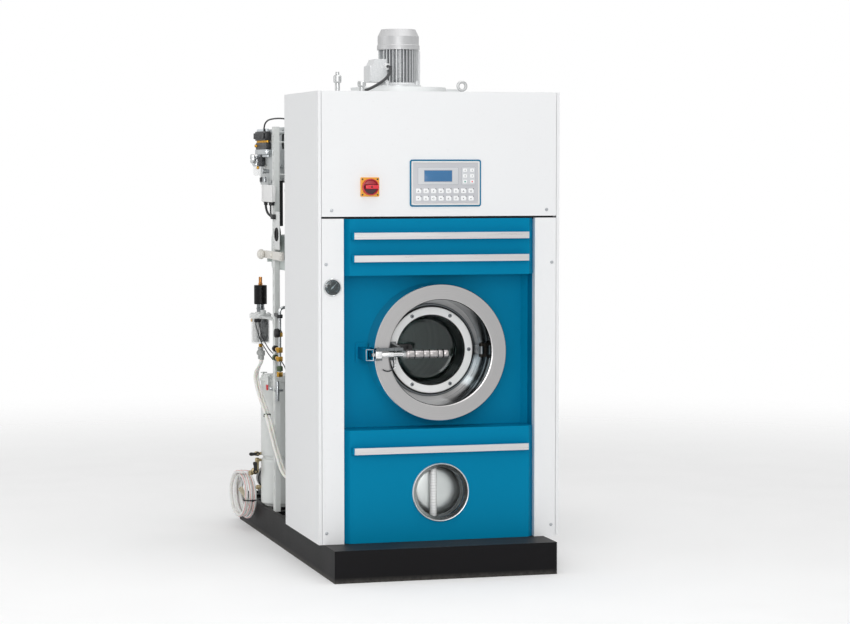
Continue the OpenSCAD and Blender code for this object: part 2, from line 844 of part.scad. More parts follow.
module control_keys() {
    color("#f4f5f5") {
        for (i = [0 : 7], j = [0, 1]) {
            key(-84.5 + i * 27.6, 1340 - j * 26, 18, 16);
        }
        for (i = [0, 1], j = [0 : 2]) {
            key(86 + i * 26, 1420 - j * 20, 16, 12);
        }
    }
}

// ---------- tub, drum and drive ----------

module tub() {
    color("#a7adb0") {
        turned_y(0, door_z) {
            folded([[ring_r - 2, tub_y], [tub_r, tub_y], [tub_r, tub_end], [shaft_r + 30, tub_end]], tub_t);
        }
        for (y = [tub_y + 90, -270, tub_end - 60]) {
            turned_y(0, door_z) polygon([[tub_r - 1, y], [tub_r + 7, y + 6], [tub_r + 7, y + 16], [tub_r - 1, y + 22]]);
        }
        for (i = [0 : 5]) {
            translate([0, 0, door_z]) rotate([0, 60 * i + 30, 0]) {
                box([160, tub_end - 1, -4], [tub_r - 20, tub_end + 12, 4]);
            }
        }
        for (y = [tub_y + 60, tub_end - 100]) {
            z = base_h + seat + (y < cab_end ? sheet + seat : 0);
            in_xz(y, y + 8) difference() {
                polygon([[-413, z], [-345, z], [-345, 390], [345, 390], [345, z], [384 - 18, z], [413, 500],
                    [413, 560], [-413, 560]]);
                translate([0, door_z]) circle(tub_r - 1);
            }
        }
    }
}

module drum() {
    t = 2.5;
    color("#c4c8ca") {
        difference() {
            union() {
                turned_y(0, door_z) {
                    folded([[ring_r + 2, drum_y + 14], [ring_r + 6, drum_y + 4], [ring_r + 14, drum_y],
                        [drum_r, drum_y], [drum_r, drum_end], [20, drum_end]], t);
                }
                rod_y(0, drum_end - 8, 185, door_z, shaft_r - run);
                rod_y(0, drum_end - 12, drum_end, door_z, 110);
            }
            rod_y(0, 175, 190, door_z, 6);
        }
        for (i = [0 : lifters - 1]) {
            translate([0, 0, door_z]) rotate([0, 360 * i / lifters + 30, 0]) {
                in_xz(drum_y + 20, drum_end - 1) {
                    polygon([[drum_r - 2, -42], [drum_r - 30, -30], [drum_r - 62, -9], [drum_r - 66, 0],
                        [drum_r - 62, 9], [drum_r - 30, 30], [drum_r - 2, 42]]);
                }
            }
        }
    }
}

module pulley(r, hub_r, bore_r, y0, w, spokes) {
    difference() {
        union() {
            turned_y(0, 0) {
                polygon([[r - 24, y0], [r - 2, y0], [r, y0 + 3], [r, y0 + w - 3], [r - 2, y0 + w], [r - 24, y0 + w]]);
            }
            rod_y(0, y0, y0 + w, 0, hub_r);
            for (i = [0 : spokes - 1]) {
                rotate([0, 360 * i / spokes, 0]) box([hub_r - 4, y0 + 8, -14], [r - 20, y0 + w - 8, 14]);
            }
        }
        rod_y(0, y0 - 1, y0 + w + 1, 0, bore_r);
    }
}

module drum_pulley() {
    color("#5b6066") translate([0, 0, door_z]) pulley(drum_pulley_r, 52, shaft_r, pulley_y, pulley_w, 5);
}

module bearing_housing() {
    y = tub_end + seat;
    color("#566069") difference() {
        union() {
            turned_y(0, door_z) {
                polygon([[shaft_r, y], [148, y], [150, y + 3], [150, y + 14], [80, y + 18], [64, y + 40], [60, y + 112],
                    [shaft_r, y + 112]]);
            }
            for (i = [0 : 5]) {
                translate([0, 0, door_z]) rotate([0, 60 * i, 0]) in_xy(-5, 5) {
                    polygon([[58, y + 10], [140, y + 10], [140, y + 18], [64, y + 96], [58, y + 96]]);
                }
            }
        }
        for (i = [0 : 5]) {
            translate([0, 0, door_z]) rotate([0, 60 * i + 30, 0]) rod_y(128, y - 1, y + 20, 0, 6.5);
        }
        rod_y(0, y - 1, y + 120, door_z, shaft_r);
    }
}

module drive_motor() {
    r = 92;
    y0 = pulley_y + pulley_w + 20;
    color("#4c6b86") {
        difference() {
            union() {
                turned_y(motor_x, motor_cz) {
                    polygon([[0, y0], [r - 20, y0], [r - 6, y0 + 10], [r - 6, y0 + 26], [r - 10, y0 + 28],
                        [r - 10, y0 + 196], [r - 4, y0 + 198], [r - 4, y0 + 250], [r - 16, y0 + 262], [0, y0 + 262]]);
                }
                for (i = [0 : 23]) {
                    translate([motor_x, 0, motor_cz]) rotate([0, 15 * i, 0]) {
                        box([r - 14, y0 + 28, -1.5], [r, y0 + 196, 1.5]);
                    }
                }
                box([motor_x - 75, y0 + 30, base_h + seat + 12], [motor_x - 55, y0 + 190, motor_cz - 60]);
                box([motor_x + 55, y0 + 30, base_h + seat + 12], [motor_x + 75, y0 + 190, motor_cz - 60]);
                box([motor_x - 100, y0 + 20, base_h + seat], [motor_x + 100, y0 + 200, base_h + seat + 14]);
            }
            rod_y(motor_x, y0 - 1, y0 + 60, motor_cz, 14);
        }
        box([motor_x - 45, y0 + 60, motor_cz + r - 12], [motor_x + 45, y0 + 150, motor_cz + r + 34]);
    }
}

module motor_pulley() {
    color("#5b6066") translate([motor_x, 0, motor_cz]) {
        pulley(motor_pulley_r, 26, 13, pulley_y, pulley_w, 5);
        rod_y(0, pulley_y - 8, pulley_y + pulley_w + 60, 0, 14 - run);
    }
}

// flat belt ring that runs outside both pulleys
module drive_belt() {
    a = motor_pulley_r + 0.6;
    b = drum_pulley_r + 0.6;
    color("#222222") in_xz(pulley_y + 5, pulley_y + pulley_w - 5) difference() {
        hull() {
            translate([0, door_z]) circle(b + 7, $fn = 96);
            translate([motor_x, motor_cz]) circle(a + 7, $fn = 48);
        }
        hull() {
            translate([0, door_z]) circle(b, $fn = 96);
            translate([motor_x, motor_cz]) circle(a, $fn = 48);
        }
    }
}

module solvent_tank() {
    x = 330;
    y0 = cab_y + 70;
    z1 = 366;
    color("#b9bfc1") {
        difference() {
            union() {
                box([-x, y0, base_h + seat], [x, deck_end - 5, z1]);
                turned_y(75, window_z - 5) {
                    polygon([[0, y0 + 1], [92, y0 + 1], [92, y0 - 8], [74, y0 - 8], [70, y0 - 16], [52, y0 - 16],
                        [48, y0 - 24], [0, y0 - 24]]);
                }
            }
            box([-x + 3, y0 + 3, base_h + seat + 3], [x - 3, deck_end - 8, z1 - 3]);
            rod_z(0, -300, z1 - 10, z1 + 10, 40);
        }
        rod_z(-15, y0 - 22, window_z - 96, z1 - 12, 10);
        for (z = [window_z - 88, z1 - 24]) {
            rod_y(-15, y0 - 22, y0 + 1, z, 7);
        }
        rod_x(-x - 4, -x + 1, -41, 254, 9);
    }
}

// ---------- air circuit ----------

module air_casing() {
    x = casing_x;
    t = 2.5;
    color("#b4b9bb") {
        difference() {
            in_xz(casing_y0, casing_y1) {
                polygon([[-x, 1370], [-x + 70, 1370], [-x + 70, casing_z], [x, casing_z], [x, casing_top],
                    [-x, casing_top]]);
            }
            in_xz(casing_y0 + t, casing_y1 - t) {
                polygon([[-x + t, 1370 + t], [-x + 70 + t, 1370 + t], [-x + 70 + t, casing_z + t], [x - t, casing_z + t],
                    [x - t, casing_top - t], [-x + t, casing_top - t]]);
            }
            box([-x - 1, 284, 1500], [-x + 5, 324, 1572]);
            rod_z(fan_x, fan_y, casing_top - 10, casing_top + 1, 90);
            box([-98, casing_y0 + 22, casing_z - 1], [98, -22, casing_z + 5]);
        }
        difference() {
            box([-100, casing_y0 + 20, 1130], [100, -20, casing_z + 1]);
            box([-98, casing_y0 + 22, 1120], [98, -22, casing_z + 2]);
            rod_y(0, -400, 200, door_z, tub_r + 7.3);
        }
        in_xy(1425, 1430) polygon([[-x + 1, 290], [-x + 1, 475], [-x - 34, 475]]);
        in_yz(-x - 3, -x + 1) polygon([[290, 1428], [475, 1428], [475, 1470]]);
    }
}

module fan_housing() {
    t = 2.5;
    z0 = casing_top + seat;
    color("#aab0b2") difference() {
        union() {
            rod_z(fan_x, fan_y, z0, fan_top, 180);
            box([fan_x, fan_y + 90, z0], [fan_x + 280, fan_y + 180, fan_top]);
        }
        rod_z(fan_x, fan_y, z0 + t, fan_top - 6, 180 - t);
        box([fan_x, fan_y + 90 + t, z0 + t], [fan_x + 280 - t, fan_y + 180 - t, fan_top - 6]);
        rod_z(fan_x, fan_y, z0 - 1, z0 + 5, 90);
        rod_z(fan_x, fan_y, fan_top - 10, fan_top + 1, 14);
        box([fan_x + 190, fan_y + 100, z0 - 1], [fan_x + 260, fan_y + 170, z0 + 5]);
    }
}

// finned motor body with flange and tie bolts, and its terminal box
module fan_motor() {
    z = motor_z;
    core = 62;
    color("#b3b5b6") {
        difference() {
            union() {
                turned_z(fan_x, fan_y) {
                    polygon([[0, z], [84, z], [86, z + 2], [86, z + 9], [79, z + 12], [76, z + 18], [core + 2, z + 21],
                        [core, z + 30], [core, z + body_h - 6], [0, z + body_h - 6]]);
                }
                for (i = [0 : fins - 1]) {
                    a = 360 * i / fins;
                    if (abs(a - 180) > 28) {
                        translate([fan_x, fan_y, 0]) rotate([0, 0, a]) {
                            box([core - 2, -1.4, z + 17], [fin_r, 1.4, z + body_h]);
                        }
                    }
                }
                for (a = [45 : 90 : 315]) {
                    translate([fan_x, fan_y, 0]) rotate([0, 0, a]) rod_z(80, 0, z, z + 22, 8);
                }
                translate([fan_x, fan_y, 0]) box([66, -30, z + 12], [fin_r, 30, z + body_h - 8]);
            }
            rod_z(fan_x, fan_y, z - 1, z + body_h + 1, fan_shaft_r);
            for (a = [45 : 90 : 315]) {
                translate([fan_x, fan_y, 0]) rotate([0, 0, a]) rod_z(80, 0, z + 14, z + 23, 4);
            }
        }
        for (a = [45 : 90 : 315]) {
            translate([fan_x, fan_y, 0]) rotate([0, 0, a]) rod_z(80, 0, z + 14.1, z + 26, 3.9);
        }
        terminal_box();
    }
}

module terminal_box() {
    x0 = fan_x - 114;
    y0 = fan_y - 50;
    z0 = motor_z + 20;
    difference() {
        in_xz(y0, y0 + 100) {
            polygon([[x0, z0], [fan_x - 56, z0], [fan_x - 56, z0 + 86], [x0 + 12, z0 + 86], [x0, z0 + 62]]);
        }
        rod_z(fan_x, fan_y, z0 - 1, z0 + 90, 62 + seat);
        box([x0 + 6, y0 + 5, z0 + 5], [fan_x - 66, y0 + 95, z0 + 62]);
    }
    in_yz(x0 - 8, x0 - run) {
        translate([y0 + 50, z0 + 31]) round_rect(98, 60, 5);
    }
    turned_y(-22, 1806) {
        polygon([[5 + seat, y0 - 16], [10, y0 - 14], [11, y0 - 10], [13, y0 - 9], [13, y0 - run], [5 + seat, y0 - run]]);
    }
}

module fan_cowl() {
    r = cowl_r;
    z = cowl_z;
    color("#c4c6c7") difference() {
        turned_z(fan_x, fan_y) {
            folded([[r + 2.5, z], [r + 2.5, z + 16], [r, z + 19], [r, z + 50], [r * 0.83, z + cowl_h],
                [14, z + cowl_h]], 2);
        }
        for (i = [0 : 17]) {
            translate([fan_x, fan_y, 0]) rotate([0, 0, 20 * i]) {
                box([20, -2, z + cowl_h - 8], [38, 2, z + cowl_h + 1]);
                box([43, -3, z + cowl_h - 8], [58, 3, z + cowl_h + 1]);
            }
        }
    }
}

module motor_cable() {
    color("#1a1a1a") swept(cable_pts, 5, 8);
}

// shaft with the wheel in the housing and the cooling fan under the cowl
module fan_rotor() {
    z0 = casing_top + 24;
    zc = cowl_z + 26;
    color("#8d9294") {
        rod_z(fan_x, fan_y, z0, zc + 22, fan_shaft_r - run);
        difference() {
            turned_z(fan_x, fan_y) {
                polygon([[0, z0 + 92], [150, z0 + 92], [150, z0 + 95], [30, z0 + 97], [24, z0 + 102], [0, z0 + 102]]);
            }
        }
        turned_z(fan_x, fan_y) polygon([[92, z0], [95, z0], [151, z0 + 10], [150, z0 + 13]]);
        for (i = [0 : blades - 1]) {
            translate([fan_x, fan_y, 0]) rotate([0, 0, 360 * i / blades]) translate([96, 0, 0]) rotate([0, 0, 28]) {
                box([0, -1.2, z0 + 8], [50, 1.2, z0 + 93]);
            }
        }
        rod_z(fan_x, fan_y, zc, zc + 20, 18);
        for (i = [0 : 6]) {
            translate([fan_x, fan_y, 0]) rotate([0, 0, 360 * i / 7]) box([12, -1.5, zc], [56, 1.5, zc + 18]);
        }
    }
}

module lifting_eye(x, y) {
    turned_y(x, cab_top + 36) translate([0, y]) translate([15.5, 0]) circle(5.5);
    rod_z(x, y, cab_top + 10, cab_top + 17, 7);
    turned_z(x, y) polygon([[0, cab_top + seat], [14, cab_top + seat], [14, cab_top + 5], [8, cab_top + 12],
        [0, cab_top + 12]]);
}

module roof_fittings() {
    z = cab_top + seat;
    color("#a9adaf") {
        turned_z(-298, -376) {
            polygon([[0, z], [15, z], [15, z + 6], [9, z + 8], [9, z + 36], [13.5, z + 38], [14.5, z + 42],
                [14.5, z + 60], [12, z + 64], [7, z + 66], [7, z + 76], [0, z + 76]]);
        }
        turned_z(-208, -376) {
            polygon([[0, z], [10, z], [10, z + 22], [14, z + 25], [15.5, z + 29], [15.5, z + 40], [13, z + 44],
                [0, z + 44]]);
        }
        lifting_eye(226, -176);
        turned_z(-196, -316) {
            polygon([[5 + seat, z], [13, z], [13, z + 5], [10, z + 6], [8, z + 7.5], [5 + seat, z + 7.5]]);
        }
    }
}

// ---------- machinery bay ----------

// two-part housing with a groove, a lid on swing bolts and a foot ring
module filter_housing() {
    r = filter_r;
    z0 = base_h + seat;
    zt = filter_top;
    color("#cdd6d0") {
        turned_z(filter_x, filter_y) {
            polygon([[0, z0 + 12], [r - 20, z0 + 12], [r - 20, z0], [r - 14, z0], [r - 14, z0 + 8], [r - 5, z0 + 8],
                [r - 1, z0 + 11], [r, z0 + 16], [r, z0 + 174], [r - 3, z0 + 182], [r - 9, z0 + 186],
                [r - 9, z0 + 191], [r - 2, z0 + 196], [r, z0 + 200], [r, zt - 24], [r + 4, zt - 22], [r + 4, zt - 14],
                [r - 1, zt - 12], [r - 3, zt - 4], [r - 10, zt], [0, zt + 4]]);
        }
    }
    color("#9fa3a5") for (a = [40 : 90 : 310]) {
        translate([filter_x, filter_y, 0]) rotate([0, 0, a]) {
            difference() {
                box([r + 4 + seat, -7, zt - 40], [r + 15, 7, zt - 6]);
                box([r + 3, -3, zt - 36], [r + 10, 3, zt - 5]);
            }
            rod_z(r + 9.5, 0, zt - 6 + run, zt + 6, 4);
            box([r + 1, -13, zt + 1], [r + 14, 13, zt + 5]);
        }
    }
}

// upper valve with stem; lower ball valve on an elbow, with the hose nipple
module drain_valves() {
    wall = filter_x - filter_r - seat;
    vy = valve_y;
    color("#b7a57e") {
        turned_x(vy, 315) {
            polygon([[0, -447], [6, -447], [9, -443], [9, -432], [6, -429], [6, wall], [0, wall]]);
        }
        rod_y(-437, vy - 20, vy, 315, 3.5);
        rod_x(-436, wall, vy, 290, 5.5);
        turned_z(-436, vy) {
            polygon([[0, 244], [6.5, 244], [6.5, 281], [8.5, 282], [8.5, 296], [6, 299], [0, 299]]);
        }
        turned_x(vy, 247) {
            polygon([[0, -460], [8, -459], [13, -453], [13, -441], [8, -432], [0, -431]]);
        }
        rod_y(valve_x, vy - 26, vy, 247, 4);
        rod_x(elbow[0], valve_x, vy, elbow[2], 5);
        rod_z(elbow[0], elbow[1], elbow[2] - 9, elbow[2] + 9, 8);
        translate(elbow) rotate([0, 0, coil_turn]) rod_y(0, 0, 14 - run, 0, 6.5);
        turned_x(vy + 20, 181) {
            polygon([[0, -438], [7, -437], [9, -433], [9, -424], [6, -421], [6, wall + 3], [0, wall + 3]]);
        }
    }
}

module upper_lever() {
    y = valve_y - 16;
    color("#191919") difference() {
        union() {
            rod_y(-437, y, y + 6, 315, 8);
            in_xz(y, y + 6) translate([-437, 315]) {
                polygon([[0, -6], [-8, -5], [-26, -7], [-33, -4], [-33, 4], [-26, 7], [-8, 5], [0, 6]]);
            }
        }
        rod_y(-437, y - 1, y + 7, 315, 3.5 + run);
    }
}

module lower_lever() {
    y = valve_y - 23;
    color("#191919") difference() {
        union() {
            rod_y(valve_x, y, y + 6, 247, 9);
            in_xz(y, y + 6) translate([valve_x, 247]) {
                polygon([[-6, 0], [-7, 22], [-10, 32], [-8, 38], [4, 38], [6, 32], [6, 22], [6, 0]]);
            }
        }
        rod_y(valve_x, y - 1, y + 7, 247, 4 + run);
    }
}

module separator_glass() {
    color("#dfe3e2") difference() {
        rod_z(sep_x, sep_y, sep_z, sep_z + 100, sep_r);
        rod_z(sep_x, sep_y, sep_z + 5, sep_z + 101, sep_r - 4);
        rod_z(sep_x, sep_y, sep_z - 1, sep_z + 6, 4);
    }
}

// head with arm, insulated pipe, bottom nipple and tee
module separator_head() {
    z = sep_z + 100 + seat;
    color("#b9bcbd") {
        turned_z(sep_x, sep_y) {
            polygon([[0, z], [sep_r + 6, z], [sep_r + 6, z + 14], [sep_r + 2, z + 18], [0, z + 18]]);
        }
        in_xy(z + 6, z + 14) {
            polygon([[sep_x - 12, sep_y - sep_r], [post_x + 4, post_y + 40 + seat], [post_x + 16, post_y + 40 + seat],
                [sep_x + 16, sep_y - sep_r]]);
        }
        box([post_x, post_y + 40 + seat, z - 10], [post_x + 20, post_y + 46, z + 30]);
        rod_y(post_x + 10, post_y + 46 + run, post_y + 66, z + 24, 8);
        rod_z(sep_x, sep_y - sep_r - 20, z + 14 + run, z + 34, 9);
    }
    color("#1c1c1c") turned_z(sep_x, sep_y) {
        polygon([[7, z + 18.3], [16, z + 18.3], [16, z + 54], [25, z + 58], [25, z + 130], [21, z + 136],
            [7, z + 136]]);
    }
    color("#b87545") difference() {
        rod_z(sep_x, sep_y, z + 18.3, z + 162, 6.7);
        rod_z(sep_x, sep_y, z + 130, z + 163, 5);
    }
    color("#c79a4a") {
        rod_z(sep_x, sep_y, sep_z - 14, sep_z - seat, 6);
        rod_z(sep_x, sep_y, sep_z - seat - 0.01, sep_z + 12, 3.9);
    }
    color("#8f9294") difference() {
        union() {
            rod_z(sep_x, sep_y, sep_z - 62, sep_z - 14 - run, 9);
            rod_y(sep_x, sep_y - 22, sep_y, sep_z - 34, 8);
            rod_z(sep_x, sep_y - 22, sep_z - 60, sep_z - 34, 8);
            translate([sep_x, sep_y - 22, sep_z - 34]) sphere(8);
        }
        rod_z(sep_x, sep_y, sep_z - 63, sep_z - 50, 5);
    }
}

module pneumatic_plate() {
    x = plate_x;
    color("#a9adb0") {
        in_yz(x, x + 3) difference() {
            translate([362.5, 1468]) round_rect(225, 213, 8);
            for (y = [262, 463], z = [1374, 1562]) {
                translate([y, z]) circle(3.3);
            }
        }
        for (y = [262, 463], z = [1390, 1562]) {
            difference() {
                rod_x(x + 3 + run, -casing_x - seat, y, z, 7);
            }
        }
        box([x, 300, 1330], [x + 3, 316, 1363]);
    }
    color("#e6e6e2") {
        difference() {
            box([-420, 272, 1298], [x - run, 344, 1361]);
            box([-417, 275, 1301], [x - 3, 341, 1358]);
        }
        in_yz(-424, -420 - run) translate([308, 1329.5]) round_rect(70, 61, 4);
    }
}

module solenoid_valves() {
    x = plate_x - seat;
    pitch = 190 / solenoids;
    color("#9da2a6") box([x - 24, 264, 1478], [x, 460, 1498]);
    color("#141414") for (i = [0 : solenoids - 1]) {
        y = 268 + pitch * i;
        box([x - 23, y, 1498 + run], [x - 3, y + pitch - 4, 1526]);
        rod_z(x - 13, y + (pitch - 4) / 2, 1526, 1532, 6);
        box([x - 26, y + 1, 1532], [x - 2, y + pitch - 5, 1568]);
    }
    color("#b08d4f") for (i = [0 : solenoids - 1]) {
        rod_z(x - 12, 268 + pitch * (i + 0.5) - 2, 1466, 1478 - run, 5);
    }
    color("#2a2c2e") {
        rod_x(x - 10, x, 448, 1450, 8);
        turned_z(x - 22, 448) {
            polygon([[0, 1432], [10, 1432], [14, 1436], [14, 1462], [8, 1465], [8, 1474], [0, 1474]]);
        }
    }
    color("#d9e0e2") turned_z(x - 22, 448) {
        polygon([[0, 1396], [8, 1398], [12, 1404], [12.5, 1431.7], [0, 1431.7]]);
    }
}

// bright riser on a saddle, clear hoses, dark hose
module bay_pipes() {
    color("#d3d5d6") {
        rod_z(-414, 77, 640, 898, 6);
        translate([-414, 77, 902]) sphere(8);
        rod_x(-414, -300, 77, 902, 6);
        rod_z(-300, 77, 902, 1040 - seat, 6);
        translate([-300, 77, 902]) sphere(8);
    }
    color("#2b2b2b") {
        difference() {
            union() {
                rod_z(-414, 77, 862, 876, 10);
                box([-414, 72, 862], [-400, post_y - seat, 876]);
            }
            rod_z(-414, 77, 850, 890, 6 + run);
        }
    }
    color("#d8d5c6") {
        swept(clear_pts, 4.5, 8);
        translate([0, -22, 2]) swept([for (i = [0 : 16]) clear_pts[i] + [0, i < 3 ? 0 : min(11, (i - 2) * 4), 0]], 4.5, 8);
    }
    color("#17181a") swept(dark_pts, 5, 8);
}

// ---------- coiled drain hose ----------

// place on the coil, s in turns from the top of the outer layer: some way in, half a turn back to
// the middle layer, the same way out, half a turn back to the inner layer, two turns in, and a
// last stretch that leaves through the coil's opening
out_dir = [-cos(coil_turn), -sin(coil_turn), 0];
near_dir = [sin(coil_turn), -cos(coil_turn), 0];
way = 0.76;
s_a = way;
s_b = s_a + 0.5;
s_c = s_b + way;
s_d = s_c + 0.5;
coil_s = 113 / 24;
leave_r = 98;
leave_l = 62;
function leaving(s) = max(0, leave_l - 2 * PI * (coil_r - 2 * hose_pitch) * (coil_s - s));
function coil_rad(s) = coil_r - hose_pitch * (s < s_a ? s : s < s_b ? way : s < s_c ? s_c - s : s < s_d ? 0 :
    min(s - s_d, 2));
function coil_out(s) = hose_pitch * (s < s_a ? 1 : s < s_b ? 1 - 2 * (s - s_a) : s < s_c ? 0 :
    s < s_d ? -2 * (s - s_c) : -1) + pow(leaving(s), 2) / (2 * leave_r);
function coil_at(s) = coil_c + coil_rad(s) * ([0, 0, 1] * cos(360 * s) - near_dir * sin(360 * s))
    + out_dir * coil_out(s);
coil_pts = [for (i = [0 : coil_s * coil_rings + 0.01]) coil_at(i / coil_rings)];
last = len(coil_pts) - 1;
tail_dir = unit(2 * coil_pts[last] - 3 * coil_pts[last - 1] + coil_pts[last - 2]);
tail_end = coil_pts[last] + tail_dir * hose_d;
// the lead leaves the valve straight and eases down to the first turn
lead_top = elbow - near_dir * 14;
lead_in = lead_top - near_dir * hose_d;
lead_pts = [for (i = [0 : 9]) let (w = i / 10, e = w * w * (3 - 2 * w), v = coil_pts[0] - lead_in,
    f = -near_dir * (-near_dir * v)) lead_in + f * w + (v - f) * e];
hose_pts = concat([lead_top], lead_pts, coil_pts, [tail_end]);
// least distance between centre lines of stretches that lie more than five diameters apart along the hose
function far_gap(p, i) = min([for (j = [i + 12 : len(p) - 1]) norm(p[i] - p[j])]);
hose_gap = min([for (i = [0 : 2 : len(hose_pts) - 13]) far_gap(hose_pts, i)]) - hose_d;
hose_len = [for (i = 0, l = 0; i < len(hose_pts); i = i + 1,
    l = l + (i < len(hose_pts) ? norm(hose_pts[i] - hose_pts[i - 1]) : 0)) l];

module drain_hose() {
    echo(hose_gap = hose_gap, hose_length = hose_len[len(hose_len) - 1], hose_end = tail_end, hose_dir = tail_dir);
    color("#e9e9ea") swept(hose_pts, hose_d / 2, coil_sides);
}

module hose_fitting() {
    d = tail_dir;
    color("#c8bfa6") translate(tail_end) rotate([0, acos(d[2]), atan2(d[1], d[0])]) difference() {
        rotate_extrude() {
            polygon([[0, run], [7.5, run], [8, 1], [8, 16], [8.6, 17], [8.6, 34], [10, 35], [10, 44], [9, 45], [0, 45]]);
        }
        translate([0, 0, 20]) cylinder(h = 26, r = 5.5);
    }
}

// ---------- lint filter, still, compressor and pump ----------

module lint_filter() {
    color("#d5d8d3") {
        difference() {
            union() {
                box([-386, 26, 1040], [-200, 340, 1170]);
                box([-276, 60, 1169], [-206, 300, casing_z - seat]);
            }
            box([-383.5, 28.5, 1042.5], [-202.5, 337.5, 1167.5]);
            box([-273.5, 62.5, 1160], [-208.5, 297.5, casing_z + 1]);
        }
        in_yz(-389, -386 - run) translate([112, 1105]) round_rect(150, 118, 8);
        in_yz(-389, -386 - run) translate([287, 1105]) round_rect(96, 118, 8);
        difference() {
            box([-407.6, 24, 1085], [-389 - run, 44, 1105]);
            rod_x(-409, -388, 34, 1095, 4);
        }
        rod_x(-421, -389 - run, 34, 1095, 4 - run);
        box([-407.6, 318, 1066], [-389 - run, 330, 1086.5]);
    }
}

module latch_bar() {
    color("#cdb98c") difference() {
        union() {
            in_yz(-420, -408.5) translate([185, 1095]) round_rect(322, 15, 7);
            rod_x(-424, -408.5, 34, 1095, 11);
            rod_x(-440, -420.01, 336, 1095, 14);
            rod_x(-446, -440.01, 336, 1095, 11);
        }
        rod_x(-430, -400, 34, 1095, 4);
    }
}

module still() {
    r = still_r;
    z0 = base_h + seat;
    color("#c2c8c8") {
        difference() {
            turned_z(still_x, still_y) {
                polygon([[0, z0 + 24], [r - 30, z0 + 24], [r - 30, z0], [r - 24, z0], [r - 24, z0 + 20], [r - 8, z0 + 22],
                    [r, z0 + 34], [r, 500], [r + 8, 502], [r + 8, 522], [r, 524], [r - 6, 560], [r - 50, 612],
                    [r - 110, 632], [0, 640]]);
            }
            turned_z(still_x, still_y) {
                polygon([[0, z0 + 30], [r - 12, z0 + 30], [r - 6, z0 + 38], [r - 6, 500], [r - 12, 556], [r - 54, 606],
                    [r - 112, 626], [0, 634]]);
            }
        }
        rod_z(still_x, 452, 545, casing_z - seat, 18);
        turned_y(still_x, 330) {
            translate([0, still_y + r]) polygon([[0, -10], [70, -10], [70, 14], [62, 20], [0, 24]]);
        }
    }
}

// hermetic compressor and solvent pump, both on the rear channels
module compressor() {
    z0 = base_h + seat;
    color("#2c2f31") {
        turned_z(comp_x, comp_y) {
            polygon([[0, z0 + 10], [60, z0 + 10], [86, z0 + 30], [92, z0 + 60], [92, z0 + 130], [95, z0 + 134],
                [95, z0 + 142], [92, z0 + 146], [90, z0 + 210], [78, z0 + 240], [50, z0 + 258], [0, z0 + 264]]);
        }
        box([comp_x - 95, comp_y - 78, z0], [comp_x + 95, comp_y + 90, z0 + 12]);
        rod_z(comp_x + 40, comp_y, z0 + 240, z0 + 330, 8);
    }
    color("#6b7f8c") {
        turned_y(pump_x, z0 + 66) {
            translate([0, pump_y]) polygon([[0, -80], [24, -80], [50, -72], [54, -66], [54, -30], [46, -24], [46, 60],
                [50, 62], [50, 96], [42, 104], [0, 104]]);
        }
        box([pump_x - 45, pump_y - 60, z0], [pump_x + 45, pump_y + 90, z0 + 24]);
        rod_z(pump_x, pump_y - 48, z0 + 66, z0 + 150, 14);
    }
}

base_tray();
bay_frame();
left_side_panel();
right_side_panel();
cabinet_roof();
upper_cover();
left_column();
right_column();
upper_panel();
middle_panel();
lower_panel();
trim_strips();
panel_screws();
door_collar();
door_hinge();
latch_keeper();
door_frame();
door_gasket();
door_glass();
clamp_ring();
latch_lever();
latch_grip();
window_rim();
window_glass();
solvent_tank();
pressure_gauge();
gauge_needle();
switch_plate();
switch_knob();
control_unit();
control_keys();
tub();
drum();
drum_pulley();
bearing_housing();
drive_motor();
motor_pulley();
drive_belt();
air_casing();
fan_housing();
fan_motor();
fan_cowl();
motor_cable();
fan_rotor();
roof_fittings();
filter_housing();
drain_valves();
upper_lever();
lower_lever();
separator_glass();
separator_head();
pneumatic_plate();
solenoid_valves();
bay_pipes();
drain_hose();
hose_fitting();
lint_filter();
latch_bar();
still();
compressor();
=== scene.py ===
from functools import partial
from math import cos, pi, radians, sin

import bmesh
import bpy
from mathutils import Euler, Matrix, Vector


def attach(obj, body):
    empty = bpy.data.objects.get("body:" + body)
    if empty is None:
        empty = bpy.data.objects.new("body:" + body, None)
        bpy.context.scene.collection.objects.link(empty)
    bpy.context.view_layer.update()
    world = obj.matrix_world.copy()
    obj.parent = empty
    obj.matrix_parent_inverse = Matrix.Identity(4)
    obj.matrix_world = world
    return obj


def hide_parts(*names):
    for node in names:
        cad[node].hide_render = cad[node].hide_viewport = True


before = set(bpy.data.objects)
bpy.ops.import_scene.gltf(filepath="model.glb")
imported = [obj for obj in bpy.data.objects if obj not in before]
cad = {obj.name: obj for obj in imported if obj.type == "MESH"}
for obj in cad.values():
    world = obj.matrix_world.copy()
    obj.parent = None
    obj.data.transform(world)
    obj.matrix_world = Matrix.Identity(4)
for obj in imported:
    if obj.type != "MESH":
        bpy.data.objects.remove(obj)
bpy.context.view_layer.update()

# ---------------------------------------------------------------------------------------------
# Camera, floor and light.
# A long lens at chest height, a little to the left of the machine; a pale floor that fades into
# white; plain studio light, mostly from all round, with soft boxes in front, beside the lens,
# above and on the left.
# ---------------------------------------------------------------------------------------------
MM = 0.001
scene = bpy.context.scene


def linear(hex_colour):
    """sRGB hex to the linear colour that a shader takes."""
    parts = [int(hex_colour[i:i + 2], 16) / 255 for i in (1, 3, 5)]
    return [c / 12.92 if c <= 0.04045 else ((c + 0.055) / 1.055) ** 2.4 for c in parts] + [1.0]


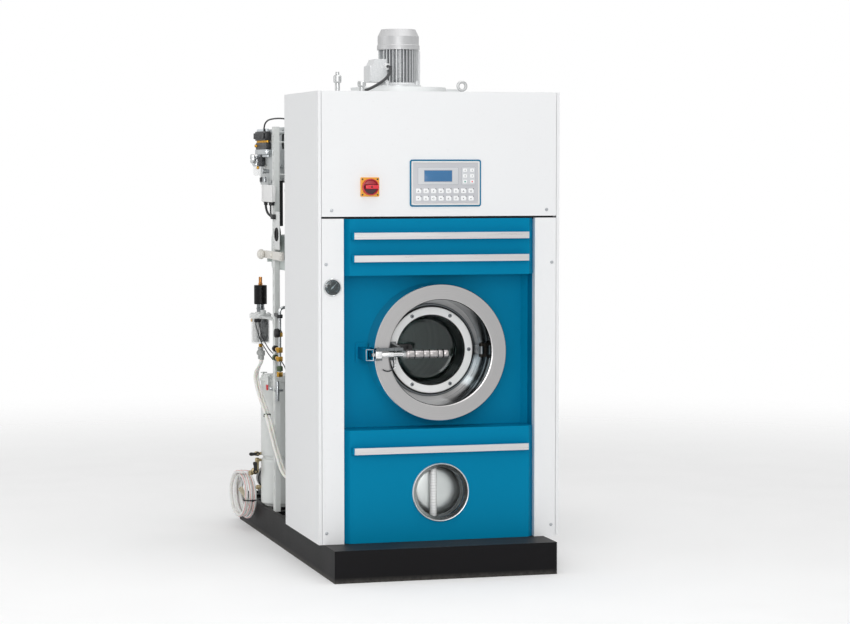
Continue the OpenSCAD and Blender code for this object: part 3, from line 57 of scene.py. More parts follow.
def add(tree, kind, inputs=None, **settings):
    """Adds a shader node: settings are its properties, inputs its sockets' values, hex colours or
    links; a node stands for its first live output."""
    made = tree.nodes.new("ShaderNode" + kind)
    for name, value in settings.items():
        setattr(made, name, value)
    for name, value in (inputs or {}).items():
        if isinstance(value, bpy.types.Node):
            value = next(s for s in value.outputs if s.enabled)
        if isinstance(value, bpy.types.NodeSocket):
            tree.links.new(value, made.inputs[name])
        else:
            made.inputs[name].default_value = linear(value) if isinstance(value, str) else value
    return made


def blank(name):
    """An empty node material, the function that adds a node to it, and its place coordinates."""
    made = bpy.data.materials.new(name)
    made.use_nodes = True
    made.node_tree.nodes.clear()
    node = partial(add, made.node_tree)
    return made, node, node("TexCoord").outputs["Object"]


def ramp(node, source, low, high, stops):
    """A colour ramp over the stretch from low to high of a value."""
    made = node("ValToRGB", {"Fac": node("MapRange",
        {"Value": source, "From Min": low, "From Max": high})})
    while len(made.color_ramp.elements) < len(stops):
        made.color_ramp.elements.new(0.5)
    for element, (place, colour) in zip(made.color_ramp.elements, stops):
        element.position = place
        element.color = linear(colour)
    return made


def placed(name, data):
    """A new object of that name in the scene."""
    made = bpy.data.objects.new(name, data)
    scene.collection.objects.link(made)
    return made


lens = bpy.data.cameras.new("lens")
lens.lens = 105.04
lens.sensor_width = 36.0
lens.clip_end = 200
camera = placed("camera", lens)
camera.location = (-2.393, -9.046, 1.431)
camera.rotation_euler = (radians(86.65), 0, radians(-15.6))
scene.camera = camera
scene.view_settings.view_transform = "Standard"

# studio floor, matt white paper: keeps the soft shadow and fades out to the white surroundings
paper, node, place = blank("studio_paper")
far = node("VectorMath", {0: place}, operation="LENGTH")
fade = node("MapRange", {"Value": far, "From Min": 1.5, "From Max": 6.5},
    interpolation_type="SMOOTHSTEP")
fibre = node("TexNoise", {"Vector": place, "Scale": 3.0, "Detail": 3.0})
matt = node("BsdfDiffuse", {"Color": ramp(node, fibre, 0.3, 0.7, [(0, "#f1f1f1"), (1, "#f4f4f4")])})
# the camera sees the paper a little brighter than it lights the machine
lift = node("Math", {0: node("LightPath").outputs["Is Camera Ray"], 1: 0.12}, operation="MULTIPLY")
sheet = node("AddShader", {0: matt, 1: node("Emission", {"Strength": lift})})
both = node("MixShader", {0: fade, 1: sheet, 2: node("BsdfTransparent")})
node("OutputMaterial", {"Surface": both})
# the mesh being built: shapes are added to it, and it is emptied once a piece is made of it
form = bmesh.new()
bmesh.ops.create_grid(form, x_segments=8, y_segments=8, size=9)
sheet_mesh = bpy.data.meshes.new("studio_floor")
form.to_mesh(sheet_mesh)
form.clear()
floor = placed("studio_floor", sheet_mesh)
floor.data.materials.append(paper)

world = bpy.data.worlds.new("studio")
scene.world = world
world.use_nodes = True
world.node_tree.nodes.clear()
node = partial(add, world.node_tree)
ray = node("LightPath").outputs
seen = node("Math", {0: ray["Is Camera Ray"], 1: ray["Is Transmission Ray"]}, operation="MAXIMUM")
room = node("Background", {"Color": "#ffffff", "Strength": 0.56})
# what metal and glass mirror: white above and behind, a pale grey room before the machine
towards = node("SeparateXYZ", {0: node("TexCoord").outputs["Generated"]})
front = ramp(node, towards.outputs["Y"], -1.0, 1.0, [(0, "#d8dadb"), (0.3, "#dddfe0"),
    (0.55, "#eceded"), (1, "#f4f5f5")])
above = node("MapRange", {"Value": towards.outputs["Z"], "From Min": 0.15, "From Max": 0.75})
round_about = node("MixRGB", {"Fac": above, "Color1": front, "Color2": "#ffffff"})
mirrored = node("Background", {"Color": round_about, "Strength": 0.9})
white = node("Background", {"Color": "#ffffff", "Strength": 1.0})
lit = node("MixShader", {0: ray["Is Glossy Ray"], 1: room, 2: mirrored})
node("OutputWorld", {"Surface": node("MixShader", {0: seen, 1: lit, 2: white})})

# soft boxes: where each hangs, what it points at, its sides in metres and its watts
for name, where, aim, size, watts in (
        ("front_box", (-1.2, -5.2, 2.6), (0, -0.3, 0.9), (3.4, 2.6), 50),
        ("lens_box", (-1.6, -6.6, 1.5), (0, -0.5, 0.8), (1.6, 1.6), 58),
        ("top_box", (0.4, -0.6, 4.6), (0, 0, 0.8), (3.6, 3.6), 58),
        ("left_box", (-4.6, 0.4, 3.0), (0, 0.1, 0.9), (2.6, 2.6), 31)):
    light = bpy.data.lights.new(name, "AREA")
    light.shape = "RECTANGLE"
    light.size, light.size_y = size
    light.energy = watts
    lamp = placed(name, light)
    lamp.location = where
    lamp.rotation_euler = (Vector(aim) - Vector(where)).to_track_quat("-Z", "Y").to_euler()

# ---------------------------------------------------------------------------------------------
# Drain hose, lying in a coil against the left side of the tray.
# White extruded PVC with a red tracer line, pushed on the elbow under the filter housing; it was
# wound at the works and is held by a black cable tie. Its end is a beige moulded fitting.
# ---------------------------------------------------------------------------------------------
def smoothed(points, parts=4):
    """More points on the smooth line (Catmull-Rom) through the given ones."""
    p = [Vector(q) for q in points]
    p = [2 * p[0] - p[1]] + p + [2 * p[-1] - p[-2]]
    line = []
    for a, b, c, d in zip(p, p[1:], p[2:], p[3:]):
        for k in range(parts):
            t = k / parts
            line.append(0.5 * (2 * b + (c - a) * t + (2 * a - 5 * b + 4 * c - d) * t ** 2
                + (3 * b - a - 3 * c + d) * t ** 3))
    return line + [p[-2]]


def shaded(obj, angle=40):
    """Smooth shading, with the edges over that angle kept sharp."""
    for face in obj.data.polygons:
        face.use_smooth = True
    form = bmesh.new()
    form.from_mesh(obj.data)
    for edge in form.edges:
        if len(edge.link_faces) == 2 and edge.calc_face_angle(0) > radians(angle):
            edge.smooth = False
    form.to_mesh(obj.data)
    form.free()
    return obj


def settle(obj, material, body):
    """Puts the finish on a piece and lets it ride on its body."""
    obj.data.materials.clear()
    obj.data.materials.append(material)
    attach(obj, body)
    return obj


def tube(name, line, radius, material, body="machine", sides=16):
    """A round cord, hose or rod along a line of points in millimetres, as a mesh with its UV map."""
    wire = bpy.data.curves.new(name, "CURVE")
    wire.dimensions = "3D"
    wire.bevel_depth = radius * MM
    wire.bevel_resolution = sides // 2 - 1
    wire.use_fill_caps = True
    spline = wire.splines.new("POLY")
    spline.points.add(len(line) - 1)
    for point, at in zip(spline.points, line):
        point.co = [c * MM for c in at] + [1]
    holder = placed(name + "_wire", wire)
    graph = bpy.context.evaluated_depsgraph_get()
    mesh = bpy.data.meshes.new_from_object(holder.evaluated_get(graph))
    bpy.data.objects.remove(holder)
    mesh.name = name
    return settle(shaded(placed(name, mesh)), material, body)


# the coil leans on the tray's wall, turned by tilt; its axis points outward, near is to the front
tilt = radians(10)
outward = Vector((-cos(tilt), -sin(tilt), 0))
near = Vector((sin(tilt), -cos(tilt), 0))
up = Vector((0, 0, 1))
coil_at = Vector((-463, 546, 138))
wind, first_r, hose_d = 16.3, 90.5, 14
TURNS, STEPS = 113 / 24, 24  # turns in the coil, points to a turn


def between(s, *knots):
    """The value at s of a line through (s, value) knots, level beyond its ends."""
    for (a, low), (b, high) in zip(knots, knots[1:]):
        if s < b:
            return low + (high - low) * max(0, s - a) / (b - a)
    return knots[-1][1]


def wound(s):
    """The hose's centre line after s turns, in millimetres: a front layer, then a back one."""
    inward = between(s, (0, 0), (0.76, 0.76), (1.26, 0.76), (2.02, 0), (2.52, 0), (4.52, 2))
    radius = first_r - wind * inward
    outer = wind * between(s, (0.76, 1), (1.26, 0), (2.02, 0), (2.52, -1))
    # the last 62 mm bend away from the machine, on a radius of 98 mm
    leaving = max(0, 62 - 2 * pi * (first_r - 2 * wind) * (TURNS - s))
    return (coil_at + radius * (up * cos(2 * pi * s) - near * sin(2 * pi * s))
        + outward * (outer + leaving ** 2 / (2 * 98)))


turns = [wound(i / STEPS) for i in range(114)]
away = (2 * turns[-1] - 3 * turns[-2] + turns[-3]).normalized()
lead_top = Vector((-461, 396, 241)) - near * 14
lead_in = lead_top - near * hose_d
drop = turns[0] - lead_in
level = -near * (-near).dot(drop)
lead = [lead_in + level * (i / 10) + (drop - level) * ((i / 10) ** 2 * (3 - 2 * i / 10))
    for i in range(10)]
hose_path = smoothed([lead_top] + lead + turns + [turns[-1] + hose_d * away], 3)

# white PVC, extruded: satin, with a thin red line along one side and grey finger marks
hose_pvc, node, place = blank("white_pvc_red_tracer")
# the tracer runs along the coil's outer front edge
from_coil = node("VectorMath", {0: place, 1: coil_at * MM}, operation="SUBTRACT")
facing = node("NewGeometry").outputs["Normal"]
to_front = node("VectorMath", {0: facing, 1: outward}, operation="DOT_PRODUCT")
to_rim = node("VectorMath", {0: facing, 1: from_coil}, operation="DOT_PRODUCT")
line = node("Math", {0: to_front, 1: 0.66, 2: 0.11}, operation="COMPARE")
rim = node("Math", {0: to_rim, 1: 0.02}, operation="GREATER_THAN")
tracer = node("Math", {0: line, 1: rim}, operation="MULTIPLY")
grime = node("TexNoise", {"Vector": place, "Scale": 28.0, "Detail": 5.0})
white = ramp(node, grime, 0.35, 0.75, [(0, "#f1f1ef"), (0.6, "#e8e7e4"), (1, "#d5d3ce")])
tint = node("MixRGB", {"Fac": tracer, "Color1": white, "Color2": "#d06460"})
fine = node("TexNoise", {"Vector": place, "Scale": 420.0, "Detail": 2.0})
relief = node("Bump", {"Height": fine, "Strength": 0.12, "Distance": 0.0006})
node("OutputMaterial", {"Surface": node("BsdfPrincipled", {"Base Color": tint, "Roughness": 0.42,
    "Normal": relief, "Coat Weight": 0.12, "Subsurface Weight": 0.05})})

hose = tube("drain_hose_pvc", hose_path, hose_d / 2, hose_pvc, sides=20)
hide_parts("drain_hose")

# ---------------------------------------------------------------------------------------------
# Base tray: a bund of folded 4 mm sheet steel that catches leaks, with cross channels inside.
# Black powder paint, satin, with dust on what faces up and scuffs along its foot.
# ---------------------------------------------------------------------------------------------
def shade(tone, times):
    """A linear colour made darker or lighter."""
    return [min(1, c * times) for c in linear(tone)[:3]] + [1]


def coated(name, tone, rough, peel=3.0, depth=0.1, cloudy=0.03, dust=0.0, coat=0.0, foot=None,
           shine=0.5):
    """Paint or moulding: a little cloudy, an orange peel of that size in mm, and dust on top."""
    made, node, place = blank(name)
    cloud = node("TexNoise", {"Vector": place, "Scale": 2.6, "Detail": 5.0, "Roughness": 0.6})
    tint = node("MixRGB", {"Fac": cloud, "Color1": shade(tone, 1 - cloudy),
        "Color2": shade(tone, 1 + cloudy)})
    speck = node("TexNoise", {"Vector": place, "Scale": 95.0, "Detail": 4.0})
    soil = node("MapRange", {"Value": speck, "From Min": 0.62, "From Max": 0.8,
        "To Max": 0.25 + cloudy})
    tint = node("MixRGB", {"Fac": soil, "Color1": tint, "Color2": shade(tone, 0.82)})
    if dust:
        face = node("SeparateXYZ", {0: node("NewGeometry").outputs["Normal"]})
        lying = node("MapRange", {"Value": face.outputs["Z"], "From Min": 0.5, "From Max": 1.0,
            "To Max": dust})
        drift = node("Math", {0: lying, 1: cloud}, operation="MULTIPLY")
        tint = node("MixRGB", {"Fac": drift, "Color1": tint, "Color2": "#b5b2ab"})
    if foot:
        height = node("SeparateXYZ", {0: place})
        low = node("MapRange", {"Value": height.outputs["Z"], "From Min": foot, "From Max": 0.0,
            "To Max": 0.6})
        worn = node("Math", {0: low, 1: speck}, operation="MULTIPLY")
        tint = node("MixRGB", {"Fac": worn, "Color1": tint, "Color2": "#77746e"})
    skin = node("TexNoise", {"Vector": place, "Scale": 1000 / peel, "Detail": 2.0})
    relief = node("Bump", {"Height": skin, "Strength": depth, "Distance": 0.0004 * peel})
    gloss = node("MapRange", {"Value": cloud, "To Min": rough * 0.85, "To Max": rough * 1.2})
    node("OutputMaterial", {"Surface": node("BsdfPrincipled", {"Base Color": tint, "Roughness": gloss,
        "Normal": relief, "Coat Weight": coat, "Coat Roughness": 0.12, "Specular IOR Level": shine})})
    return made


def finish(material, *nodes):
    """Gives the finish to CAD nodes as they are."""
    for name in nodes:
        slots = cad[name].data.materials
        if not len(slots):
            slots.append(material)
        for k in range(len(slots)):
            slots[k] = material


# black powder paint: nearly black, greyed by dust on the level faces and rubbed near the floor
finish(coated("black_powder_paint", "#121113", 0.5, 2.0, 0.2, 0.08, 0.1, 0, 0.02, 0.14), "base_tray")

# ---------------------------------------------------------------------------------------------
# Cabinet: side panels, roof, upper cover and front columns of folded 2.5 mm sheet steel.
# White powder paint, baked; each panel is held by screws from the front or from inside.
# ---------------------------------------------------------------------------------------------
# white powder paint: even, semi-gloss, with a faint orange peel that blurs reflections
finish(coated("white_powder_paint", "#eff0f1", 0.4, 3.5, 0.06, 0.012, 0.0, 0.05), "left_side_panel",
    "right_side_panel", "cabinet_roof", "upper_cover", "left_column", "right_column")
# blue powder paint: deep teal blue, satin, broad soft reflections
blue_paint = coated("blue_powder_paint", "#0081aa", 0.42, 3.0, 0.06, 0.02, 0.0, 0.0, None, 0.05)
finish(blue_paint, "upper_panel", "middle_panel", "lower_panel", "latch_keeper")


def metal(name, tone, rough, grain="cast", size=4.0, spread=0.25, depth=0.08, at=(0, 0), metallic=1.0,
          soil=0.15):
    """Bare metal: grain lines along an axis, rings about one (spun_x, spun_y, spun_z), or cast."""
    made, node, place = blank(name)
    source, scale = place, [1000 / size] * 3
    if grain in ("x", "y", "z"):
        scale["xyz".index(grain)] = 6.0
    elif grain.startswith("spun"):
        axis = "xyz".index(grain[-1])
        middle, flat = list(at), [1, 1, 1]
        middle.insert(axis, 0)
        flat[axis] = 0
        moved = node("VectorMath", {0: place, 1: middle}, operation="SUBTRACT")
        spoke = node("VectorMath", {0: moved, 1: flat}, operation="MULTIPLY")
        radius = node("VectorMath", {0: spoke}, operation="LENGTH")
        source = node("CombineXYZ", {0: radius, 1: node("SeparateXYZ", {0: moved}).outputs[axis]})
    grit = node("VectorMath", {0: source, 1: scale}, operation="MULTIPLY")
    lines = node("TexNoise", {"Vector": grit, "Scale": 1.0, "Detail": 4.0, "Roughness": 0.65})
    cloud = node("TexNoise", {"Vector": place, "Scale": 9.0, "Detail": 4.0})
    tint = node("MixRGB", {"Fac": lines, "Color1": shade(tone, 1 - spread),
        "Color2": shade(tone, 1 + spread)})
    stain = node("MapRange", {"Value": cloud, "From Min": 0.5, "From Max": 0.8, "To Max": soil})
    tint = node("MixRGB", {"Fac": stain, "Color1": tint, "Color2": shade(tone, 0.45)})
    gloss = node("MapRange", {"Value": lines, "From Min": 0.3, "From Max": 0.7, "To Min": rough * 0.75,
        "To Max": rough * 1.3})
    relief = node("Bump", {"Height": lines, "Strength": depth, "Distance": 0.0002 * size})
    node("OutputMaterial", {"Surface": node("BsdfPrincipled", {"Base Color": tint, "Roughness": gloss,
        "Normal": relief, "Metallic": metallic})})
    return made


# brushed stainless trim: bright, streaked along its length
finish(metal("brushed_stainless_trim", "#e6e3e3", 0.34, "x", 2.5, 0.015, 0.008, soil=0.02),
    "trim_strips")
# zinc plated screws: turned heads, softly bright
zinc = metal("zinc_plate", "#c2c5c8", 0.34, "cast", 2.5, 0.15, 0.1)
finish(zinc, "panel_screws", "gauge_needle", "fan_rotor")

# ---------------------------------------------------------------------------------------------
# Loading door and its well: spun stainless collar, cast hinge, machined door ring with its latch
# arm, pressed glass bowl under a white enamelled clamp ring.
# ---------------------------------------------------------------------------------------------
door_axis = (0, 0.779)  # X and Z of the axis of door, collar and drum, in metres
# spun stainless steel: the face brushed in fine rings, the well's wall behind it mirror polished
spun_steel, node, place = blank("spun_stainless")
moved = node("VectorMath", {0: place, 1: (0, *door_axis)}, operation="SUBTRACT")
spoke = node("VectorMath", {0: moved, 1: (1, 0, 1)}, operation="MULTIPLY")
radius = node("VectorMath", {0: spoke}, operation="LENGTH")
lines = node("TexNoise", {"W": radius, "Scale": 420.0, "Detail": 3.0, "Roughness": 0.7},
    noise_dimensions="1D")
facing = node("SeparateXYZ", {0: node("NewGeometry").outputs["Normal"]})
flat = node("MapRange", {"Value": node("Math", {0: facing.outputs["Y"]}, operation="ABSOLUTE"),
    "From Min": 0.55, "From Max": 0.95})
cloud = node("TexNoise", {"Vector": place, "Scale": 5.0, "Detail": 3.0})
# the mirror wall carries painted reflections: a blue-black painted reflection on the hinge side, and
# painted pale and dark reflection bands round the wall, broken up by cloudy noise
side = node("VectorMath", {0: node("VectorMath", {0: spoke}, operation="NORMALIZE"),
    1: (0.86, 0.0, 0.5)}, operation="DOT_PRODUCT")
painted_reflection_side = node("Math", {0: cloud, 1: 0.3, 2: side}, operation="MULTIPLY_ADD")
pale = ramp(node, painted_reflection_side, -0.85, 1.15, [(0, "#e3e6e6"), (0.4, "#d5d9da"), (0.62, "#b5bfc2"),
    (0.8, "#7d959d"), (1, "#50707b")])
parts = node("SeparateXYZ", {0: spoke})
turn = node("Math", {0: parts.outputs["Z"], 1: parts.outputs["X"]}, operation="ARCTAN2")
turn = node("Math", {0: cloud, 1: 0.22, 2: turn}, operation="MULTIPLY_ADD")
painted_reflection_bands = ramp(node, turn, -1.7, 1.9, [(0, "#ffffff"), (0.15, "#ffffff"), (0.165, "#2b2726"),
    (0.285, "#1d1b1b"), (0.3, "#ffffff"), (0.335, "#ffffff"), (0.35, "#4b5356"), (0.46, "#8fa1a8"),
    (0.6, "#5c6a70"), (0.8, "#6d7679"), (0.87, "#ffffff"), (1, "#ffffff")])
wall = node("MixRGB", {"Fac": 0.85, "Color1": pale, "Color2": painted_reflection_bands}, blend_type="MULTIPLY")
face = node("MixRGB", {"Fac": lines, "Color1": "#b2b0b0", "Color2": "#cfcdcc"})
tint = node("MixRGB", {"Fac": flat, "Color1": wall, "Color2": face})
rough = node("MapRange", {"Value": flat, "To Min": 0.09, "To Max": 0.34})
relief = node("Bump", {"Height": lines, "Strength": 0.05, "Distance": 0.0006})
node("OutputMaterial", {"Surface": node("BsdfPrincipled", {"Base Color": tint, "Roughness": rough,
    "Normal": relief, "Metallic": 1.0})})
finish(spun_steel, "door_collar")
# dark cast steel: rough skin, brownish grey
finish(metal("dark_cast_steel", "#2e2a27", 0.5, "cast", 3.0, 0.3, 0.4), "door_hinge")
# machined stainless: bright face with fine tool rings
finish(metal("machined_stainless", "#7d8183", 0.3, "spun_y", 4.0, 0.12, 0.08, door_axis), "door_frame")
# black rubber: matt, slightly greyed
black_rubber = coated("black_rubber", "#18181a", 0.7, 1.5, 0.2, 0.12)
finish(black_rubber, "door_gasket", "drive_belt")
# white stove enamel: thick and glossy, very smooth
finish(coated("white_stove_enamel", "#fdfdfc", 0.16, 6.0, 0.03, 0.01, 0.0, 0.4), "clamp_ring")


def glazed(name, tone, rough=0.02, ripple=0.05):
    """Clear glass with a faint ripple and a few smears."""
    made, node, place = blank(name)
    wave = node("TexNoise", {"Vector": place, "Scale": 14.0, "Detail": 2.0})
    smear = node("TexNoise", {"Vector": place, "Scale": 30.0, "Detail": 4.0})
    film = node("MapRange", {"Value": smear, "From Min": 0.5, "From Max": 0.8, "To Min": rough,
        "To Max": rough + 0.06})
    relief = node("Bump", {"Height": wave, "Strength": ripple, "Distance": 0.002})
    tint = node("MixRGB", {"Fac": smear, "Color1": shade(tone, 0.97), "Color2": tone})
    node("OutputMaterial", {"Surface": node("BsdfPrincipled", {"Base Color": tint, "Roughness": film,
        "Normal": relief, "Transmission Weight": 1.0, "IOR": 1.5})})
    return made


# pressed borosilicate glass: thick, faintly grey-green
finish(glazed("pressed_glass", "#bccbc8", 0.02, 0.01), "door_glass")
# polished stainless: clean highlights
polished = metal("polished_stainless", "#e3e3e3", 0.2, "x", 8.0, 0.05, 0.02, soil=0.04)
finish(polished, "latch_lever")

# ---------------------------------------------------------------------------------------------
# Tub, drum, its drive and bearing.
# The tub is rolled stainless sheet, the drum pierced sheet spun true on its shaft; cast pulleys
# and bearing housing are painted, and a rubber belt runs to the motor.
# ---------------------------------------------------------------------------------------------
# rolled stainless sheet: cool grey, cloudy from the mill
finish(metal("rolled_stainless", "#bcc1c3", 0.38, "z", 6.0, 0.06, 0.05), "tub")
# pierced stainless drum: 6 mm holes every 22 mm round the mantle, painted dark as the shade of the tub
# seen through them; they are drawn, since they are too many to cut
drum_steel, node, place = blank("pierced_drum_stainless")
parts = node("SeparateXYZ", {0: node("VectorMath", {0: place, 1: (0, *door_axis)},
    operation="SUBTRACT")})
flat = node("CombineXYZ", {"X": parts.outputs["X"], "Y": parts.outputs["Z"]})
radius = node("VectorMath", {0: flat}, operation="LENGTH")
turn = node("Math", {0: parts.outputs["Z"], 1: parts.outputs["X"]}, operation="ARCTAN2")
# a whole number of holes in a row, so that the rows close; both places are counted in pitches
row, hole_pitch = 106, 0.022
round_it = node("Math", {0: turn, 1: row / (2 * pi)}, operation="MULTIPLY")
along = node("Math", {0: parts.outputs["Y"], 1: 1 / hole_pitch}, operation="MULTIPLY")
grid = node("CombineXYZ", {"X": round_it, "Y": along})
hole = node("TexVoronoi", {"Vector": grid, "Scale": 1.0, "Randomness": 0.0}, voronoi_dimensions="2D")
inside = node("Math", {0: hole, 1: 0.14}, operation="LESS_THAN")
mantle = node("Math", {0: radius, 1: 0.362}, operation="GREATER_THAN")
pierced = node("Math", {0: inside, 1: mantle}, operation="MULTIPLY")
brushed = node("TexNoise", {"W": radius, "Scale": 90.0, "Detail": 3.0}, noise_dimensions="1D")
tint = ramp(node, brushed, 0.3, 0.7, [(0, "#b4b8ba"), (1, "#bec2c4")])
tint = node("MixRGB", {"Fac": pierced, "Color1": tint, "Color2": "#17191a"})
bare = node("Math", {0: 1.0, 1: pierced}, operation="SUBTRACT")
node("OutputMaterial", {"Surface": node("BsdfPrincipled",
    {"Base Color": tint, "Roughness": 0.4, "Metallic": bare})})
finish(drum_steel, "drum")
finish(coated("grey_casting_paint", "#5d6368", 0.5, 4.0, 0.3, 0.06, 0.3), "drum_pulley",
    "bearing_housing", "motor_pulley")
finish(coated("blue_grey_motor_enamel", "#4f6f89", 0.4, 3.0, 0.15, 0.05, 0.3), "drive_motor")

# ---------------------------------------------------------------------------------------------
# Air circuit and fan.
# Casing of folded galvanised sheet, fan housing of enamelled sheet steel; on the roof a finned
# die-cast motor under a pressed cowl, and plated lifting eyes and gland.
# ---------------------------------------------------------------------------------------------
# galvanised sheet: grey with soft spangles
galvanised = metal("galvanised_sheet", "#cfd3d4", 0.42, "cast", 18.0, 0.08, 0.03, metallic=0.8)
finish(galvanised, "air_casing")
finish(coated("white_casing_enamel", "#eef0f0", 0.36, 3.0, 0.06, 0.015), "fan_housing")
# die-cast aluminium under silver-grey enamel: painted shade darkens the gaps between the fins
fan_axis = (0.040, 0.044)
motor_enamel, node, place = blank("silver_motor_enamel")
moved = node("VectorMath", {0: place, 1: (*fan_axis, 0)}, operation="SUBTRACT")
spoke = node("VectorMath", {0: moved, 1: (1, 1, 0)}, operation="MULTIPLY")
deep = node("VectorMath", {0: spoke}, operation="LENGTH")
grit = node("TexNoise", {"Vector": place, "Scale": 160.0, "Detail": 4.0})
# painted shade darkens the gaps between the fins, painted light brightens their edges
tint = ramp(node, deep, 0.061, 0.079, [(0, "#3f4447"), (0.45, "#7f8487"), (0.8, "#dddede"),
    (1, "#eeefef")])
tint = node("MixRGB", {"Fac": grit, "Color1": tint, "Color2": "#c9cbcd"})
relief = node("Bump", {"Height": grit, "Strength": 0.15, "Distance": 0.0008})
node("OutputMaterial", {"Surface": node("BsdfPrincipled", {"Base Color": tint, "Roughness": 0.4,
    "Metallic": 0.25, "Normal": relief})})
finish(motor_enamel, "fan_motor")
# pressed steel cowl, silver paint: smooth, softly metallic
finish(metal("silver_cowl_paint", "#c3c3c4", 0.46, "cast", 2.0, 0.04, 0.05, metallic=0.45, soil=0.06),
    "fan_cowl")
finish(metal("satin_nickel_fittings", "#c6c7c7", 0.36, "cast", 2.0, 0.08, 0.05, metallic=0.8),
    "roof_fittings")

# ---------------------------------------------------------------------------------------------
# Machinery bay: frame, filter, valves, lint filter, still, compressor.
# Welded and rolled steel vessels under sprayed enamel, bronze ball valves with sleeved levers and
# a cast compressor; each stands on the tray or is bolted to the slotted posts.
# ---------------------------------------------------------------------------------------------
finish(coated("pale_grey_green_enamel", "#c9d1ce", 0.42, 3.0, 0.1, 0.04, 0.2), "lint_filter")
# the filter housing is sprayed nearly white
finish(coated("white_filter_enamel", "#dfe2e0", 0.38, 3.0, 0.1, 0.03, 0.15, 0.05), "filter_housing",
    "bay_frame")
finish(metal("nickel_bronze", "#b9a987", 0.3, "cast", 2.5, 0.2, 0.1), "drain_valves")
black_sleeve = coated("black_pvc_sleeve", "#1b1b1c", 0.5, 1.5, 0.1, 0.1)
finish(black_sleeve, "upper_lever", "lower_lever")
finish(coated("beige_moulding", "#c9c0a8", 0.4, 1.5, 0.1, 0.05), "hose_fitting")
finish(metal("satin_stainless", "#c4c9c9", 0.32, "z", 6.0, 0.06, 0.04), "still")
finish(coated("black_compressor_enamel", "#2d3032", 0.35, 3.0, 0.1, 0.06, 0.3, 0.1), "compressor")

# ---------------------------------------------------------------------------------------------
# Control unit: a grey front foil in a pale moulded bezel, set in a thin blue-green frame.
# Display behind the foil, sixteen white embossed keys below it and six small ones beside it.
# ---------------------------------------------------------------------------------------------
FACE = -676.0  # Y of the front covers' faces


def rounded(width, height, radius, at=(0, 0), steps=6):
    """The outline, in X and Z, of a rectangle with rounded corners."""
    points = []
    for k, (sx, sz) in enumerate([(1, 1), (-1, 1), (-1, -1), (1, -1)]):
        for i in range(steps + 1):
            a = pi / 2 * (k + i / steps)
            points.append((at[0] + sx * (width / 2 - radius) + radius * cos(a),
                at[1] + sz * (height / 2 - radius) + radius * sin(a)))
    return points


def extrude(faces, by):
    """Draws faces out by a vector in millimetres."""
    made = bmesh.ops.extrude_face_region(form, geom=faces, use_keep_orig=True)["geom"]
    verts = [g for g in made if isinstance(g, bmesh.types.BMVert)]
    bmesh.ops.translate(form, verts=verts, vec=Vector(by) * MM)


def soften(edges, radius, steps=2):
    """Rounds edges and returns the faces that this makes."""
    return bmesh.ops.bevel(form, geom=edges, offset=radius * MM, segments=steps, profile=0.5,
        affect="EDGES", material=-1)["faces"]


def plate(outline, front, back, edge=0.0, hole=0.0, steps=2):
    """A plate of that outline, between two distances in front of FACE, its front edge rounded;
    hole is the width of a frame left of it."""
    face = form.faces.new([form.verts.new((x * MM, (FACE - front) * MM, z * MM)) for x, z in outline])
    form.normal_update()
    rim = [face]
    if hole:
        rim = bmesh.ops.inset_region(form, faces=rim, thickness=hole * MM, use_boundary=True,
            use_even_offset=True)["faces"]
        bmesh.ops.delete(form, geom=[face], context="FACES_ONLY")
    front_edges = list(dict.fromkeys(e for f in rim for e in f.edges if len(e.link_faces) == 1))
    extrude(rim, (0, front - back, 0))
    if edge:
        soften(front_edges, edge, steps)


def turned(profile, at=(0, 0, 0), axis="Y", steps=72):
    """Turns a profile of (radius, place along the axis) right round that axis."""
    along = Vector([float(c == axis) for c in "XYZ"])
    side = Vector((0, 0, 1)) if axis == "X" else Vector((1, 0, 0))
    points = [form.verts.new((Vector(at) + side * r + along * t) * MM) for r, t in profile]
    edges = [form.edges.new(pair) for pair in zip(points, points[1:])]
    bmesh.ops.spin(form, geom=points + edges, cent=Vector(at) * MM, axis=along, angle=2 * pi,
        steps=steps, use_merge=True)


def solid(profile, *how):
    """A turned solid: the profile is closed to its axis at both ends."""
    turned([(0, profile[0][1]), *profile, (0, profile[-1][1])], *how)


def ring(profile, *how):
    """A turned ring: the profile is closed on itself."""
    turned(profile + profile[:1], *how)


def block(low, high, edge=0.0, steps=2, turn=None):
    """A block between two corners, its edges rounded, turned about its middle by a rotation."""
    low, high = Vector(low), Vector(high)
    verts = bmesh.ops.create_cube(form, size=1)["verts"]
    bmesh.ops.scale(form, verts=verts, vec=(high - low) * MM)
    if edge:
        faces = soften(list(dict.fromkeys(e for v in verts for e in v.link_edges)), edge, steps)
        verts = list({v for f in faces for v in f.verts} | {v for v in verts if v.is_valid})
    if turn:
        bmesh.ops.rotate(form, verts=verts, cent=(0, 0, 0), matrix=turn.to_matrix())
    bmesh.ops.translate(form, verts=verts, vec=(low + high) / 2 * MM)


def piece(name, material, body="machine", angle=35):
    """The shapes built so far as a piece in its place, with its finish, riding on its body."""
    bmesh.ops.remove_doubles(form, verts=form.verts, dist=1e-6)
    bmesh.ops.recalc_face_normals(form, faces=form.faces)
    mesh = bpy.data.meshes.new(name)
    form.to_mesh(mesh)
    form.clear()
    return settle(shaded(placed(name, mesh), angle), material, body)


unit_x, unit_z = 18.4, 1374
plate(rounded(260, 165, 9, (unit_x, unit_z)), 3, 0.3, 1.0, 5.2)
# anodised aluminium strip, blue-green, satin
teal = coated("blue_green_anodised", "#007399", 0.34, 2.0, 0.05, 0.03, shine=0.15)
unit_frame = piece("control_unit_frame", teal)
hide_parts("control_unit", "control_keys")
plate(rounded(249, 154, 6, (unit_x, unit_z)), 5, 0.3, 1.4, 5.5, 3)
block((-97, FACE - 0.5, 1303), (135, FACE + 46, 1445), 3)
